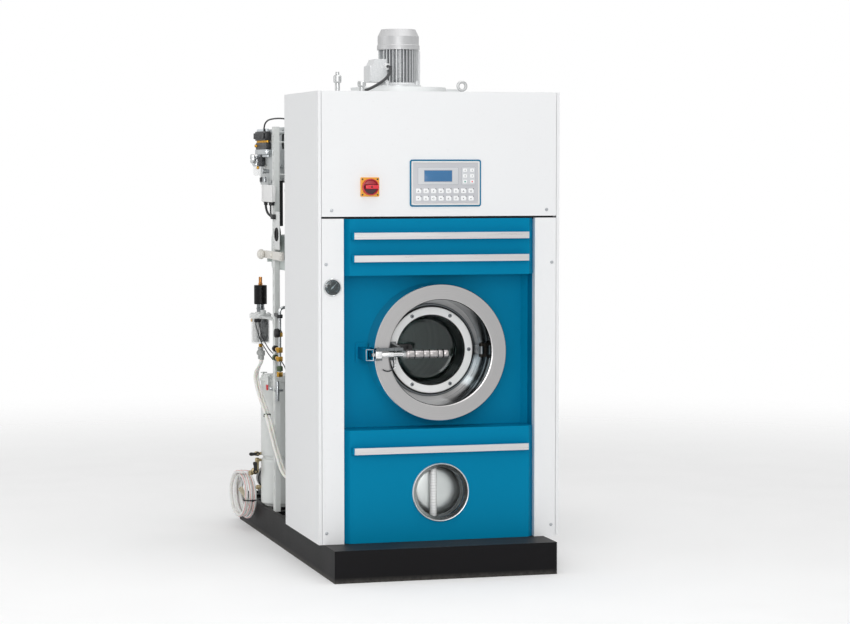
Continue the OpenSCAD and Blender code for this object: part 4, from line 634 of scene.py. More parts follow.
# pale moulded bezel, satin
bezel_abs = coated("pale_grey_abs", "#e6e4e2", 0.3, 2.0, 0.04, 0.01, coat=0.1)
piece("control_unit_bezel", bezel_abs)
plate(rounded(240, 145, 3, (unit_x, unit_z)), 3.4, 0.6, 0.2)
piece("control_unit_foil", coated("grey_front_foil", "#c4c5c9", 0.38, 1.5, 0.05, 0.012))
plate(rounded(147, 60, 3, (-9, 1399)), 3.7, 3.3, 0.1)
plate(rounded(50, 62, 3, (102, 1399)), 3.7, 3.3, 0.1)
piece("control_unit_fields", coated("lighter_grey_print", "#cfd1d4", 0.36, 1.5, 0.04, 0.01))
plate(rounded(148.4, 61.4, 3.6, (-9, 1399)), 3.75, 3.5, 0, 0.9)
plate(rounded(51.4, 63.4, 3.6, (102, 1399)), 3.75, 3.5, 0, 0.9)
plate(rounded(103, 41, 0.8, (-9, 1399)), 4.0, 3.6, 0, 1.2)
piece("control_unit_lines", coated("grey_print", "#9fa4ab", 0.4, 1.5, 0.04, 0.02))

# blue backlit display: faint dot rows
lcd, node, place = blank("blue_display")
dots = node("TexWave", {"Vector": place, "Scale": 130.0}, bands_direction="X")
tint = ramp(node, dots.outputs["Fac"], 0, 1, [(0, "#33648f"), (1, "#3a6e9a")])
node("OutputMaterial", {"Surface": node("BsdfPrincipled", {"Base Color": tint, "Roughness": 0.2,
    "Emission Color": tint, "Emission Strength": 0.18, "Coat Weight": 0.2})})
plate(rounded(101, 39, 1.2, (-9, 1399)), 3.9, 3.4, 0.2)
piece("control_unit_display", lcd)

white_key = coated("white_key_print", "#f6f7f8", 0.3, 1.5, 0.03, 0.008)
big_keys = [(-80.5 + 27.4 * i, 1347 - 26 * j) for j in (0, 1) for i in range(8)]
small_keys = [(89 + 26 * i, 1419 - 20 * j) for j in range(3) for i in (0, 1)]
for x, z in big_keys:
    plate(rounded(19, 16.5, 2.5, (x, z), 3), 4.6, 3.4, 0.7)
for x, z in small_keys:
    plate(rounded(14, 12, 2.2, (x, z), 3), 4.5, 3.6, 0.6)
piece("control_unit_keys", white_key)

# printed signs on the keys: plain strokes and dots, dark grey
for k, (x, z) in enumerate(big_keys):
    plate([(x + 5.2, z + 8.4), (x + 9.8, z + 8.4), (x + 9.8, z + 3.4)], 4.72, 4.0)
    if k % 3 == 0:
        plate(rounded(7, 1.4, 0.4, (x - 1, z - 2.5), 2), 4.72, 4.0)
        plate(rounded(1.4, 4, 0.4, (x - 1, z), 2), 4.72, 4.0)
    elif k % 3 == 1:
        plate(rounded(7, 5, 2, (x - 1, z - 0.5), 3), 4.72, 4.0, 0, 0.9)
    else:
        plate(rounded(4, 4, 1.9, (x - 1, z - 0.5), 4), 4.72, 4.0)
for x, z in small_keys[:4]:
    plate(rounded(2, 5, 0.5, (x, z), 2), 4.62, 4.0)
piece("control_unit_signs", coated("dark_grey_print", "#4a4d52", 0.4, 1.5, 0.03, 0.02))
for name, (x, z), tone in (("start", small_keys[4], "#0d8f7c"), ("stop", small_keys[5], "#e2404b")):
    plate([(x, z - 3.6), (x + 3.6, z), (x, z + 3.6), (x - 3.6, z)], 4.66, 4.0)
    piece("control_unit_" + name + "_sign", coated(name + "_print", tone, 0.35, 1.5, 0.03, 0.02))

# ---------------------------------------------------------------------------------------------
# Main switch: a red rotary handle with padlock slots, moulded in ABS, on a square yellow plate
# that four countersunk screws hold to the cover.
# ---------------------------------------------------------------------------------------------
switch_x, switch_z = -256, 1361
switch_at = (switch_x, FACE, switch_z)
plate(rounded(67, 67, 3, (switch_x, switch_z)), 6, 0.3, 1.2, 0, 3)
amber_abs = coated("amber_abs", "#f0a92e", 0.32, 2.0, 0.05, 0.05, coat=0.15)
switch_plate = piece("switch_plate_abs", amber_abs)
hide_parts("switch_plate")
for x, z in ((-27, -27), (-27, 27), (27, -27), (27, 27)):
    turned([(0, -6.6), (2.6, -6.6), (3.2, -6.2), (3.2, -5.6)], (switch_x + x, FACE, switch_z + z), "Y",
        16)
piece("switch_plate_screws", coated("blackened_screw", "#33302a", 0.4, 1.0, 0.1, 0.1))
turned([(10, 28), (10, -6.3), (29, -6.3), (29, -20), (28, -22.5), (25.5, -22.5), (25, -21), (25, -12),
    (0, -12)], switch_at, "Y", 48)
red_cup = coated("deep_red_abs", "#c22433", 0.26, 2.0, 0.04, 0.05, coat=0.2)
knob = piece("switch_knob_cup", red_cup, "knob")
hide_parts("switch_knob")
# the cup's floor is painted dark red: painted shade inside the cup
turned([(0, -12.4), (24.4, -12.4), (24.4, -11.6)], switch_at, "Y", 48)
piece("switch_knob_floor", coated("dark_red_painted_shade", "#4d2a38", 0.35, 2.0, 0.05, 0.15),
    "knob")
# the raised wedge above the handle bar, in a darker red: painted shade between bar and rim
plate([(switch_x + 24 * cos(a), switch_z + 24 * sin(a)) for a in [radians(d)
    for d in range(20, 161, 10)]], 17, 12.2, 1.5)
piece("switch_knob_wedge", coated("red_wedge_painted_shade", "#b02c3a", 0.3, 2.0, 0.05, 0.08, coat=0.1),
    "knob")
plate(rounded(47, 13, 3, (switch_x + 4, switch_z)), 25.5, 12.2, 2.0, 0, 3)
piece("switch_knob_bar", coated("bright_red_abs", "#e23341", 0.24, 2.0, 0.04, 0.03, coat=0.25),
    "knob")
turned([(0, -25.8), (3, -25.8), (3.3, -25.2)], (switch_x + 2, FACE, switch_z), "Y", 20)
block((switch_x - 23, FACE - 14, switch_z - 8), (switch_x - 17, FACE - 12.2, switch_z + 5), 1)
piece("switch_knob_hole", black_rubber, "knob")

# ---------------------------------------------------------------------------------------------
# Pressure gauge: black dial behind a domed glass in a chromed case, flush in the left column.
# The case is turned brass, the scale printed on the dial's sheet, the glass held by the bezel.
# ---------------------------------------------------------------------------------------------
gauge_x, gauge_z = -390, 1013
gauge_at = (gauge_x, FACE, gauge_z)
turned([(26.2, -3.2), (27.2, -6.2), (29.2, -7.4), (31.2, -6.2), (31.8, -3.5), (31.8, -0.3),
    (28.6, -0.3), (28.6, 34), (10, 38), (10, 44), (0, 44)], gauge_at, "Y", 64)
chrome = metal("polished_chrome", "#dcdedf", 0.1, "spun_y", 3.0, 0.04, 0.01,
    (gauge_x * MM, gauge_z * MM), soil=0.05)
gauge = piece("gauge_case", chrome)
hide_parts("pressure_gauge")
solid([(26.4, -3.2), (27.4, -2.0), (27.4, 20)], gauge_at, "Y", 64)
piece("gauge_dial", coated("black_dial_print", "#1f2629", 0.45, 1.5, 0.05, 0.1))
for k in range(31):
    a = radians(225 - 9 * k)
    inner, wide = (18.5, 0.55) if k % 5 == 0 else (21, 0.3)
    x, z = cos(a), sin(a)
    plate([(gauge_x + x * r + z * side, gauge_z + z * r - x * side) for r,
        side in ((inner, -wide), (inner, wide), (24, wide), (24, -wide))], 3.35, 3.1)
piece("gauge_scale", coated("pale_dial_print", "#9fb0b8", 0.5, 1.5, 0.03, 0.02))
turned([(0, -8.2), (8, -8.0), (16, -7.4), (22, -6.6), (26.6, -5.6), (26.6, -4.9), (20, -5.9),
    (10, -6.9), (0, -7.2)], gauge_at, "Y", 48)
piece("gauge_glass", glazed("domed_glass", "#dfe8ea"))
finish(coated("white_needle_paint", "#c9d1d4", 0.45, 1.0, 0.03, 0.02), "gauge_needle")

# ---------------------------------------------------------------------------------------------
# Latch: the lever's turned grip, a black block behind it over the clamp ring, and a dark bent wire
# beside the lever.
# ---------------------------------------------------------------------------------------------
grip_at = (-131, -695, 776.5)
solid([(10.5, -2), (12.2, 0), (14.2, 2), (15, 4), (15, 28), (14.6, 29), (14.6, 31), (15, 32), (15, 60),
    (14.6, 61), (14.6, 63), (15, 64), (15, 82), (14.6, 83), (14.6, 85), (15, 86), (15, 112),
    (14.6, 113), (14.6, 116), (15, 117), (15, 130), (13.6, 132), (13.6, 136), (15, 138), (15, 149),
    (13.5, 152), (11, 153)], grip_at, "X", 40)
# turned aluminium: silvery, fine turning rings, one long highlight
grip = piece("latch_grip_turned", metal("turned_aluminium", "#bdb8b7", 0.3, "spun_x", 3.0, 0.12, 0.05,
    (-0.695, 0.7765), soil=0.05), "latch")
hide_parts("latch_grip")
for start, wide in ((10, 1.6), (27.8, 4.4), (60.5, 3), (82.3, 3.4), (112.6, 4), (131.8, 4.4)):
    turned([(14.0, start), (15.15, start + 0.3), (15.15, start + wide - 0.3), (14.0, start + wide)],
        grip_at, "X", 40)
piece("latch_grip_bands", black_rubber, "latch")

# a black block behind the grip, reaching over the clamp ring's edge
block((-136, -571, 778), (-84, -556.3, 804), 4, 3)
solid([(9, 0), (13, -3), (13, -11), (11, -14)], (-84, -557, 791), "Y", 32)
piece("latch_black_block", coated("black_block_finish", "#141314", 0.5, 2.0, 0.1, 0.1),
    "door")
# a dark bent wire beside the lever
dark_wire_line = smoothed([(-176, -691, 769), (-176, -691, 756), (-173, -690, 744), (-175, -690, 731),
    (-182, -690, 721), (-192, -690, 717.5), (-203, -690, 719), (-213, -690, 724)], 4)
dark_wire_finish = metal("dark_wire_steel", "#3a3d40", 0.35, "cast", 2.0, 0.2, 0.05)
tube("latch_dark_wire", dark_wire_line, 2.0, dark_wire_finish, "latch", 8)
tube("latch_wire_link", smoothed([(-172, -690, 768), (-168, -690, 752), (-166, -690, 744),
    (-168, -690, 734), (-175, -690, 727)], 4), 1.3, polished, "latch", 8)

# ---------------------------------------------------------------------------------------------
# Inspection window: rubber lined port behind the bright rim, the pale tank wall at its back with
# a domed inspection lid, and a white level tube with a scale in front of it.
# ---------------------------------------------------------------------------------------------
port_z = 285
port_at, level_at = (0, 0, port_z), (-16, -640, port_z)
block((-330, -606, 113.4), (330, 95, 366), 8, 3)
tank = piece("solvent_tank_shell", metal("rolled_tank_sheet", "#dde1e0", 0.45, "z", 7.0, 0.04, 0.03,
    soil=0.1))
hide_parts("solvent_tank")
turned([(0, -624), (40, -623.4), (66, -621.5), (80, -618), (87.5, -613), (88.3, -606)], port_at, "Y",
    80)
piece("solvent_tank_lid", metal("domed_lid_steel", "#dfe3e1", 0.35, "spun_y", 9.0, 0.04, 0.02,
    (0.004, port_z * MM)))
ring([(92, -672.5), (95, -672.5), (95, -606.2), (88.5, -606.2), (88.5, -626), (91, -628), (91, -640),
    (88, -642), (88, -646), (91.5, -648), (91.5, -660), (88.5, -662), (88.5, -665), (92, -668)],
    port_at, "Y", 96)
piece("window_port_liner", coated("dark_viton", "#101314", 0.4, 2.0, 0.05, 0.15, shine=0.12))
for y, r in ((-643, 89.5), (-650, 91), (-628, 89.8)):
    ring([(r - 3.2, y), (r - 2.2, y - 1.4), (r, y - 1.6), (r, y + 1.6), (r - 2.2, y + 1.4)], port_at,
        "Y", 96)
piece("window_port_rings", metal("dull_port_rings", "#83898b", 0.35, "cast", 2.0, 0.06, 0.03))
solid([(12, -90), (12.5, -89), (12.5, 89), (12, 90)], level_at, "Z", 32)
piece("level_tube", coated("white_opal_tube", "#fbfbfa", 0.25, 1.5, 0.03, 0.02, coat=0.2))
for k in range(17):
    turned([(12.5, -0.5), (12.65, -0.5), (12.65, 0.5), (12.5, 0.5)], (-16, -640, port_z - 80 + 10 * k),
        "Z", 32)
piece("level_tube_scale", coated("grey_scale_print", "#b9bcbc", 0.4, 1.5, 0.03, 0.02))
# a grey strip behind the level tube, on its left
block((-53, -612, port_z - 76), (-32, -606.3, port_z + 76), 1.5)
piece("level_tube_grey_strip", coated("grey_strip_paint", "#7b8080", 0.4, 2.0, 0.05, 0.05))

# ---------------------------------------------------------------------------------------------
# Cellular rubber seal behind the joint between the upper cover and the columns, which keeps air
# and light out of the cabinet.
# ---------------------------------------------------------------------------------------------
block((-424, -655, 1246), (424, -645, 1262), 3, 2)
piece("cover_joint_seal", black_rubber)

# ---------------------------------------------------------------------------------------------
# Clamp ring's fixings and seals: five socket screws with washers, a black lip seal round the ring
# and the edge clip of bent wire on the keeper's mouth.
# ---------------------------------------------------------------------------------------------
ring_face, door_z = -556.0, 779
# one of the six holes on the 280 mm circle lies under the latch arm and has no screw
screws = [(140 * cos(radians(60 * k)), ring_face, door_z + 140 * sin(radians(60 * k)))
    for k in (0, 1, 2, 4, 5)]
for at in screws:
    turned([(0, -3.6), (2.1, -3.6), (2.3, -3.9), (4.6, -3.9), (5.2, -3.2), (5.4, -1.4), (6.8, -1.2),
        (7, -0.1)], at, "Y", 20)
piece("clamp_ring_screws", metal("burnished_screw_steel", "#8f9396", 0.35, "cast", 2.0, 0.2, 0.08),
    "door")
for at in screws:
    turned([(0, -3.8), (2.5, -4.1), (2.5, -3.0)], at, "Y", 6)
piece("clamp_ring_sockets", black_rubber, "door")
ring([(154.3, ring_face - 1.6), (156, ring_face - 2.4), (158.6, ring_face - 1.2),
    (159.2, ring_face + 3), (157, ring_face + 5), (154.3, ring_face + 4)], (0, 0, door_z), "Y", 128)
ring([(122.6, ring_face + 5.6), (124, ring_face + 3.6), (126.2, ring_face + 3.2),
    (126.2, ring_face + 8), (122.6, ring_face + 8)], (0, 0, door_z), "Y", 128)
piece("clamp_ring_lip_seal", black_rubber, "door")
clip = smoothed([(-276, -703.6, 796), (-276, -703.6, 758), (-250, -703.6, 757.5), (-250, -703.6, 795.5),
    (-276, -703.6, 796)], 1)
tube("keeper_mouth_clip", clip, 1.7, zinc, sides=10)
for low, high in (((-241, -705, 759.5), (-234, -686, 764)), ((-241, -705, 789), (-234, -686, 793.5))):
    block(low, high, 1)
turned([(0, 759), (6, 759), (7, 760), (7, 763)], (-230, -695, 0), "Z", 6)
block((-242.5, -708.5, 764), (-220, -703.3, 789), 2, 3)
solid([(8, -219), (9, -217.5), (9, -178), (8, -176)], (0, -696, 776.5), "X", 32)
piece("latch_fork", metal("satin_nickel_fork", "#f1f1f1", 0.3, "cast", 2.0, 0.05, 0.05, metallic=0.5,
    soil=0.03), "latch")

# ---------------------------------------------------------------------------------------------
# Inspection window's face: a thin rolled stainless rim over a flat pane on a grey seal.
# The rim is bright from rolling and clamps the pane and its pressed fibre seal to the cover.
# ---------------------------------------------------------------------------------------------
ring([(98.6, FACE - 0.3), (98.6, FACE - 5.5), (99.8, FACE - 8.4), (102, FACE - 8.9),
    (103.6, FACE - 7.4), (104, FACE - 4), (104, FACE - 0.3)], port_at, "Y", 128)
rim = piece("window_rim_rolled", metal("rolled_rim_steel", "#fbf8f7", 0.3, "spun_y", 3.0, 0.03, 0.01,
    (0, port_z * MM), soil=0.03))
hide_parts("window_rim")
# flat clear pane: seen only by its reflections, with a few smears
pane, node, place = blank("clear_pane")
smear = node("TexNoise", {"Vector": place, "Scale": 22.0, "Detail": 4.0})
film = node("MapRange", {"Value": smear, "From Min": 0.45, "From Max": 0.8, "To Min": 0.01,
    "To Max": 0.04})
gloss = node("MapRange", {"Value": smear, "To Min": 0.02, "To Max": 0.1})
node("OutputMaterial", {"Surface": node("BsdfPrincipled", {"Base Color": "#dfe6e6", "Roughness": gloss,
    "Alpha": film, "Specular IOR Level": 0.15})})
solid([(98.4, FACE - 4.4), (98.4, FACE - 1.1)], port_at, "Y", 96)
glass = piece("window_pane", pane)
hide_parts("window_glass")
ring([(87.8, FACE - 0.9), (98.4, FACE - 0.9), (98.4, FACE - 0.2), (87.8, FACE - 0.2)], port_at, "Y", 96)
# pressed fibre seal: painted light on the -X side where light falls in under the rim, painted shade
# towards +X
seal, node, place = blank("fibre_seal")
weave = node("TexNoise", {"Vector": place, "Scale": 60.0, "Detail": 4.0})
painted_shade_across = node("Math", {0: weave, 1: 0.03, 2: node("SeparateXYZ", {0: place}).outputs["X"]},
    operation="MULTIPLY_ADD")
tint = ramp(node, painted_shade_across, -0.06, 0.09, [(0, "#8e9493"), (0.3, "#5d6363"), (0.5, "#222627"),
    (1, "#131617")])
node("OutputMaterial", {"Surface": node("BsdfPrincipled", {"Base Color": tint, "Roughness": 0.45,
    "Specular IOR Level": 0.3})})
piece("window_seal", seal)

# ---------------------------------------------------------------------------------------------
# Fan motor's lead: black rubber sheathed cable from the terminal box's gland down through the
# roof; it is a free cord held at both ends.
# ---------------------------------------------------------------------------------------------


def cord(name, line, diameter, material, node=None):
    """A free cord that leaves the object and goes back into it, made as a tube; it hides the CAD nodes
    it replaces.
    """
    made = tube(name, line, diameter / 2, material)
    if node:
        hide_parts(*node)
    return made


# rubber sheath: matt black, greyed where it is handled, with a faint skin
sheath = coated("rubber_cable_sheath", "#2b2c2e", 0.5, 1.2, 0.15, 0.2)
motor_lead = smoothed([(-22, -22, 1806), (-21, -38, 1806), (-20, -58, 1802), (-24, -82, 1790),
    (-38, -110, 1772), (-62, -142, 1753), (-92, -178, 1737), (-124, -214, 1723), (-152, -246, 1713),
    (-172, -270, 1709), (-186, -288, 1707), (-194, -304, 1704), (-196, -316, 1699), (-196, -316, 1688)],
    4)
cord("motor_lead", motor_lead, 11, sheath, ["motor_cable"])
turned([(5.8, -16), (7.5, -15), (8.2, -10), (10.5, -9.5), (11, -8), (11, 0), (0, 0)], (-22, -22, 1806),
    "Y", 24)
turned([(9, -9.6), (12.8, -9.6), (12.8, -3), (9, -3)], (-22, -22, 1806), "Y", 6)
piece("motor_lead_gland", coated("light_grey_polyamide", "#dcdddd", 0.4, 1.5, 0.05, 0.04))

# ---------------------------------------------------------------------------------------------
# Air separator on the post: clear bowl under a pale head, a filter sleeve inside, and above it the
# copper vent pipe in a sleeve of black cellular foam; a grey plastic tee below.
# ---------------------------------------------------------------------------------------------
sx, sy, sz = sep_at = (-400, 494, 738)
white_enamel = coated("white_bay_enamel", "#e2e4e3", 0.38, 2.5, 0.08, 0.03, 0.1)
solid([(42, 100.3), (43, 101.5), (43, 108), (41.5, 109.5), (43, 111), (43, 115), (40, 118), (20, 119),
    (18, 124), (14, 125)], sep_at, "Z", 48)
for a in range(8):
    turned([(4.4, 115), (4.4, 120.5), (3.6, 121.5), (0, 121.5)],
        (sx + 35 * cos(radians(45 * a + 20)), sy + 35 * sin(radians(45 * a + 20)), sz), "Z", 6)
head = piece("separator_cap", white_enamel)
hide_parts("separator_head", "separator_glass")
block((sx - 14, 230.3, sz + 106), (sx + 12, sy - 40, sz + 114), 2)
block((-408, 230.3, sz + 90), (-388, 236, sz + 130), 1.5)
turned([(8.5, 230), (8.5, 239), (7, 241), (0, 241)], (-398, 0, sz + 121), "Y", 20)
solid([(9, 119), (9, 126), (11, 128), (11, 136), (8, 138)], (sx - 2, sy - 62, sz - 3), "Z", 24)
piece("separator_arm", coated("pale_casting", "#cfd2d1", 0.45, 2.5, 0.15, 0.05, 0.1))
# cellular foam: black, matt, its skin pitted with fine pores
foam = coated("black_cell_foam", "#080809", 0.4, 3.5, 0.3, 0.2, shine=0.25)
turned([(6.9, 155), (24, 155), (25.2, 156.5), (25.2, 228), (24, 229.5), (6.9, 229.5)], sep_at, "Z", 48)
piece("separator_foam", foam)
solid([(15, 125.3), (15, 134), (16.5, 136), (16.5, 140), (15, 142), (15, 154.8)], sep_at, "Z", 36)
piece("separator_stem", metal("dark_stainless_stem", "#8d9193", 0.25, "spun_z", 3.0, 0.2, 0.04,
    (sx * MM, sy * MM)))
copper = metal("drawn_copper", "#c98a4e", 0.28, "z", 3.0, 0.18, 0.05)
turned([(6.7, 229), (6.7, 262), (5, 262), (5, 232), (0, 232)], sep_at, "Z", 28)
turned([(8.2, 230), (8.6, 233), (8.6, 237), (7, 239)], sep_at, "Z", 6)
piece("separator_vent_pipe", copper)
brass = metal("turned_brass", "#c9993f", 0.25, "spun_z", 2.0, 0.15, 0.05, (sx * MM, sy * MM))
turned([(6, -0.3), (8, -2), (8, -12), (6, -14), (0, -14)], sep_at, "Z", 6)
solid([(6, 0), (8, 3), (8, 13), (6, 15)], (sx - 2, sy + 42.5, sz + 78), "Y", 20)
block((sx - 9, sy + 36, sz + 62), (sx + 3, sy + 48, sz + 72), 2)
block((sx - 31, sy + 28, sz + 84), (sx - 20, sy + 44, sz + 96), 2)
piece("separator_brass", brass)
block((sx - 32, sy - 46, sz + 86), (sx - 8, sy - 30, sz + 99), 2, 3)
for x, y in ((-335, 430), (-312, 430)):
    ring([(2.4, 627.6), (5, 627.2), (6.5, 625), (6.5, 623.2), (2.4, 623.2)], (x, y, 0), "Z", 6)
piece("probe_plugs", black_rubber)
# moulded clear bowl: a thin haze, glossy outside
bowl, node, place = blank("clear_bowl")
haze = node("TexNoise", {"Vector": place, "Scale": 26.0, "Detail": 5.0})
film = node("MapRange", {"Value": haze, "From Min": 0.3, "From Max": 0.75, "To Min": 0.1,
    "To Max": 0.26})
node("OutputMaterial", {"Surface": node("BsdfPrincipled", {"Base Color": "#d7dada", "Roughness": 0.12,
    "Alpha": film, "Specular IOR Level": 0.7, "Coat Weight": 0.4, "Coat Roughness": 0.05})})
turned([(37, 100), (37, 5), (34, 1), (30, 0), (6, 0)], sep_at, "Z", 64)
turned([(33.5, 100), (33.5, 6), (30, 4), (6, 4)], sep_at, "Z", 64)
piece("separator_bowl", bowl)
solid([(16, 8), (17, 10), (17, 96)], (sx + 13, sy - 8, sz), "Z", 40)
piece("separator_sleeve", metal("woven_sleeve_steel", "#34373a", 0.4, "z", 2.5, 0.25, 0.15))
solid([(13, 6), (13.5, 8), (13.5, 98)], (sx - 17, sy + 6, sz), "Z", 32)
piece("separator_float_tube", coated("white_float_tube", "#f1f1ef", 0.4, 1.5, 0.04, 0.03))
# grey moulded tee: satin polypropylene with a faint mould line
grey_pp = coated("grey_polypropylene", "#a9aba9", 0.4, 2.0, 0.08, 0.06)
solid([(10, -14.2), (11, -16), (11, -24), (9, -26), (9, -48), (11, -50), (11, -60), (8, -62)], sep_at,
    "Z", 28)
turned([(9, -2), (9, -16), (11, -18), (11, -26), (9, -28), (0, -28)], (sx, sy, sz - 34), "Y", 28)
solid([(10, 8), (12, 6), (12, -10), (10, -12), (8, -14), (8, -28)], (sx, sy - 24, sz - 34), "Z", 28)
turned([(9, 2), (9, 16), (12, 18), (12, 24), (10, 27), (0, 27)], (sx, sy, sz - 38), "Y", 28)
piece("separator_tee", grey_pp)

# ---------------------------------------------------------------------------------------------
# Bay hoses: two clear PVC hoses from the separator to the tank, with a black tie, the thin bright
# riser in its saddle, and the dark hose from the junction box to the lint filter.
# ---------------------------------------------------------------------------------------------
# clear PVC: milky, soft gloss, faintly yellow in its thickness
clear_pvc, node, place = blank("milky_clear_pvc")
milk = node("TexNoise", {"Vector": place, "Scale": 18.0, "Detail": 4.0})
tint = ramp(node, milk, 0.3, 0.7, [(0, "#f8f5f0"), (1, "#ece8e0")])
skin = node("TexNoise", {"Vector": place, "Scale": 500.0, "Detail": 2.0})
relief = node("Bump", {"Height": skin, "Strength": 0.1, "Distance": 0.0004})
node("OutputMaterial", {"Surface": node("BsdfPrincipled", {"Base Color": tint, "Roughness": 0.25,
    "Normal": relief, "Subsurface Weight": 0.15, "Coat Weight": 0.3, "Coat Roughness": 0.1})})
clear_points = [(-400, 494, 674), (-402, 490, 662), (-412, 470, 646), (-424, 440, 630),
    (-431, 404, 606), (-431, 366, 572), (-427, 324, 534), (-421, 282, 496), (-417, 240, 460),
    (-415, 200, 425), (-414, 150, 384), (-413, 96, 344), (-412, 40, 306), (-408, -6, 278),
    (-392, -32, 262), (-368, -40, 255), (-345, -41, 254), (-334, -41, 254)]
first = smoothed(clear_points, 3)
cord("clear_hose_first", first, 12, clear_pvc, ["bay_pipes"])
# how far the second hose lies beside the first one, point by point
aside = [(0, -22), (-2, -22), (-6, -19), (-10, -14), (-12, -8), (-12, -4)]
aside += [(-12, -2)] * 6 + [(-12, -3), (-11, -7), (-7, -12), (-3, -14), (0, -14), (0, -14)]
second = smoothed([(x + dx, y + dy, z + 2) for (x, y, z), (dx, dy) in zip(clear_points, aside)], 3)
cord("clear_hose_second", second, 12, clear_pvc)
probe = smoothed([(-424, 462, 826), (-428, 452, 818), (-425, 448, 800), (-419, 447, 780),
    (-413, 447, 760), (-404, 447, 740), (-394, 446, 724), (-382, 446, 704), (-367, 446, 684),
    (-352, 446, 664), (-342, 446, 650), (-338, 444, 638), (-336, 438, 630), (-335, 430, 627.4)], 3)
cord("probe_lead_first", probe, 4, sheath)
probe = smoothed([(-414, 453, 826), (-414, 449, 818), (-410, 443, 790), (-402, 441, 764),
    (-390, 441, 738), (-374, 441, 714), (-354, 441, 694), (-334, 440, 676), (-320, 438, 656),
    (-314, 434, 640), (-312, 430, 627.4)], 3)
cord("probe_lead_second", probe, 4, sheath)
dark = smoothed([(-416, 310, 1297.7), (-416, 310, 1280), (-414, 302, 1262), (-411, 284, 1250),
    (-404, 262, 1240), (-392, 250, 1222), (-380, 246, 1200), (-376, 246, 1184), (-376, 246, 1170.3)], 4)
cord("junction_lead", dark, 9, sheath)
# the tie stands square to the hoses, which lean back there
block((-438.5, 251, 475.9), (-411.5, 267.5, 479.1), 1.2, 2, Euler((-0.86, 0, 0)))
piece("clear_hose_ties", black_rubber)
chromed = metal("chromed_tube", "#d3d5d6", 0.18, "z", 3.0, 0.06, 0.02, soil=0.05)
# up, round a 16 mm bend to the right, along, and round another one up to the air casing
bend, arc = 16, [radians(a) for a in range(0, 91, 15)]
riser = [(-414, 77, z) for z in (640, 700, 780, 860)]
riser += [(-414 + bend * (1 - cos(a)), 77, 886 + bend * sin(a)) for a in arc]
riser += [(-340, 77, 902), (-316, 77, 902)]
riser += [(-316 + bend * sin(a), 77, 902 + bend * (1 - cos(a))) for a in arc]
riser += [(-300, 77, 980), (-300, 77, 1039.7)]
tube("bright_riser", riser, 6, chromed, sides=20)
ring([(6.2, -7), (10, -7), (10.5, -6), (10.5, 6), (10, 7), (6.2, 7)], (-414, 77, 869), "Z", 24)
block((-412, 84, 862.5), (-400, 189.7, 875.5), 2)
piece("riser_saddle", coated("black_polyamide", "#222325", 0.45, 2.0, 0.1, 0.08))
for z, tall in ((1039, 14), (800, 16), (742, 20), (708, 18), (650, 18)):
    x = -300 if z > 1000 else -414
    ring([(6.1, -tall / 2), (11, -tall / 2), (12, 2 - tall / 2), (12, tall / 2 - 2), (11, tall / 2),
        (6.1, tall / 2)], (x, 77, z - (tall / 2 if z > 1000 else 0)), "Z", 6)
for z in (742, 708):
    solid([(6, 0), (6, 24), (8.5, 26), (8.5, 38), (6, 41), (6, 66)], (-414, 82, z), "Y", 20)
piece("riser_unions", brass)
solid([(12, 12), (13, 10), (13, -10), (12, -12)], (-414, 99, 806), "Y", 28)
solid([(15, 0), (17, 3), (17, 17), (15, 20)], (-434, 77, 806), "X", 12)
turned([(9, 146), (12, 148), (12, 164), (9, 167), (0, 167)], (-414, 0, 742), "Y", 12)
piece("riser_black_knobs", black_sleeve)
turned([(8, 146), (12, 148), (12, 160), (9, 163), (0, 163)], (-414, 0, 708), "Y", 16)
solid([(11, -12), (12, -10), (12, 4), (9, 8)], (-414, 77, 674), "Z", 20)
piece("riser_green_knobs", coated("dark_green_knob", "#4a5b3e", 0.42, 1.5, 0.08, 0.08))

# ---------------------------------------------------------------------------------------------
# Pneumatic board: pale sheet steel plate on stand-offs, with a row of solenoid valves on an
# aluminium manifold, a pressure regulator with its bowl and dial, and a white junction box.
# ---------------------------------------------------------------------------------------------
px_face = -402.0
filter_at = (px_face - 17, 372, 1352)
block((px_face, 250, 1361.5), (px_face + 3, 475, 1574.5), 1.2, 2)
block((px_face, 296, 1300), (px_face + 3, 320, 1366), 1)
for y in (262, 463):
    for z in (1390, 1562):
        turned([(7, 3), (7, 51.6), (0, 51.6)], (px_face, y, z), "X", 16)
board = piece("pneumatic_board", coated("board_grey_paint", "#c3c7c7", 0.42, 3.0, 0.1, 0.04, 0.1))
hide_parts("pneumatic_plate")
for y in (262, 463):
    for z in (1374, 1562):
        turned([(0, -4.4), (3.4, -4.4), (5, -3.4), (5, -0.2), (8, -0.2), (8, 0.4)], (px_face, y, z),
            "X", 12)
turned([(0, -26), (7, -26), (9, -24), (9, -12), (7, -10), (7, 0)], (px_face, 318, 1414), "X", 16)
turned([(6, -22), (8, -24), (8, -40), (6, -42), (0, -42)], (px_face - 17, 318, 1414), "Z", 16)
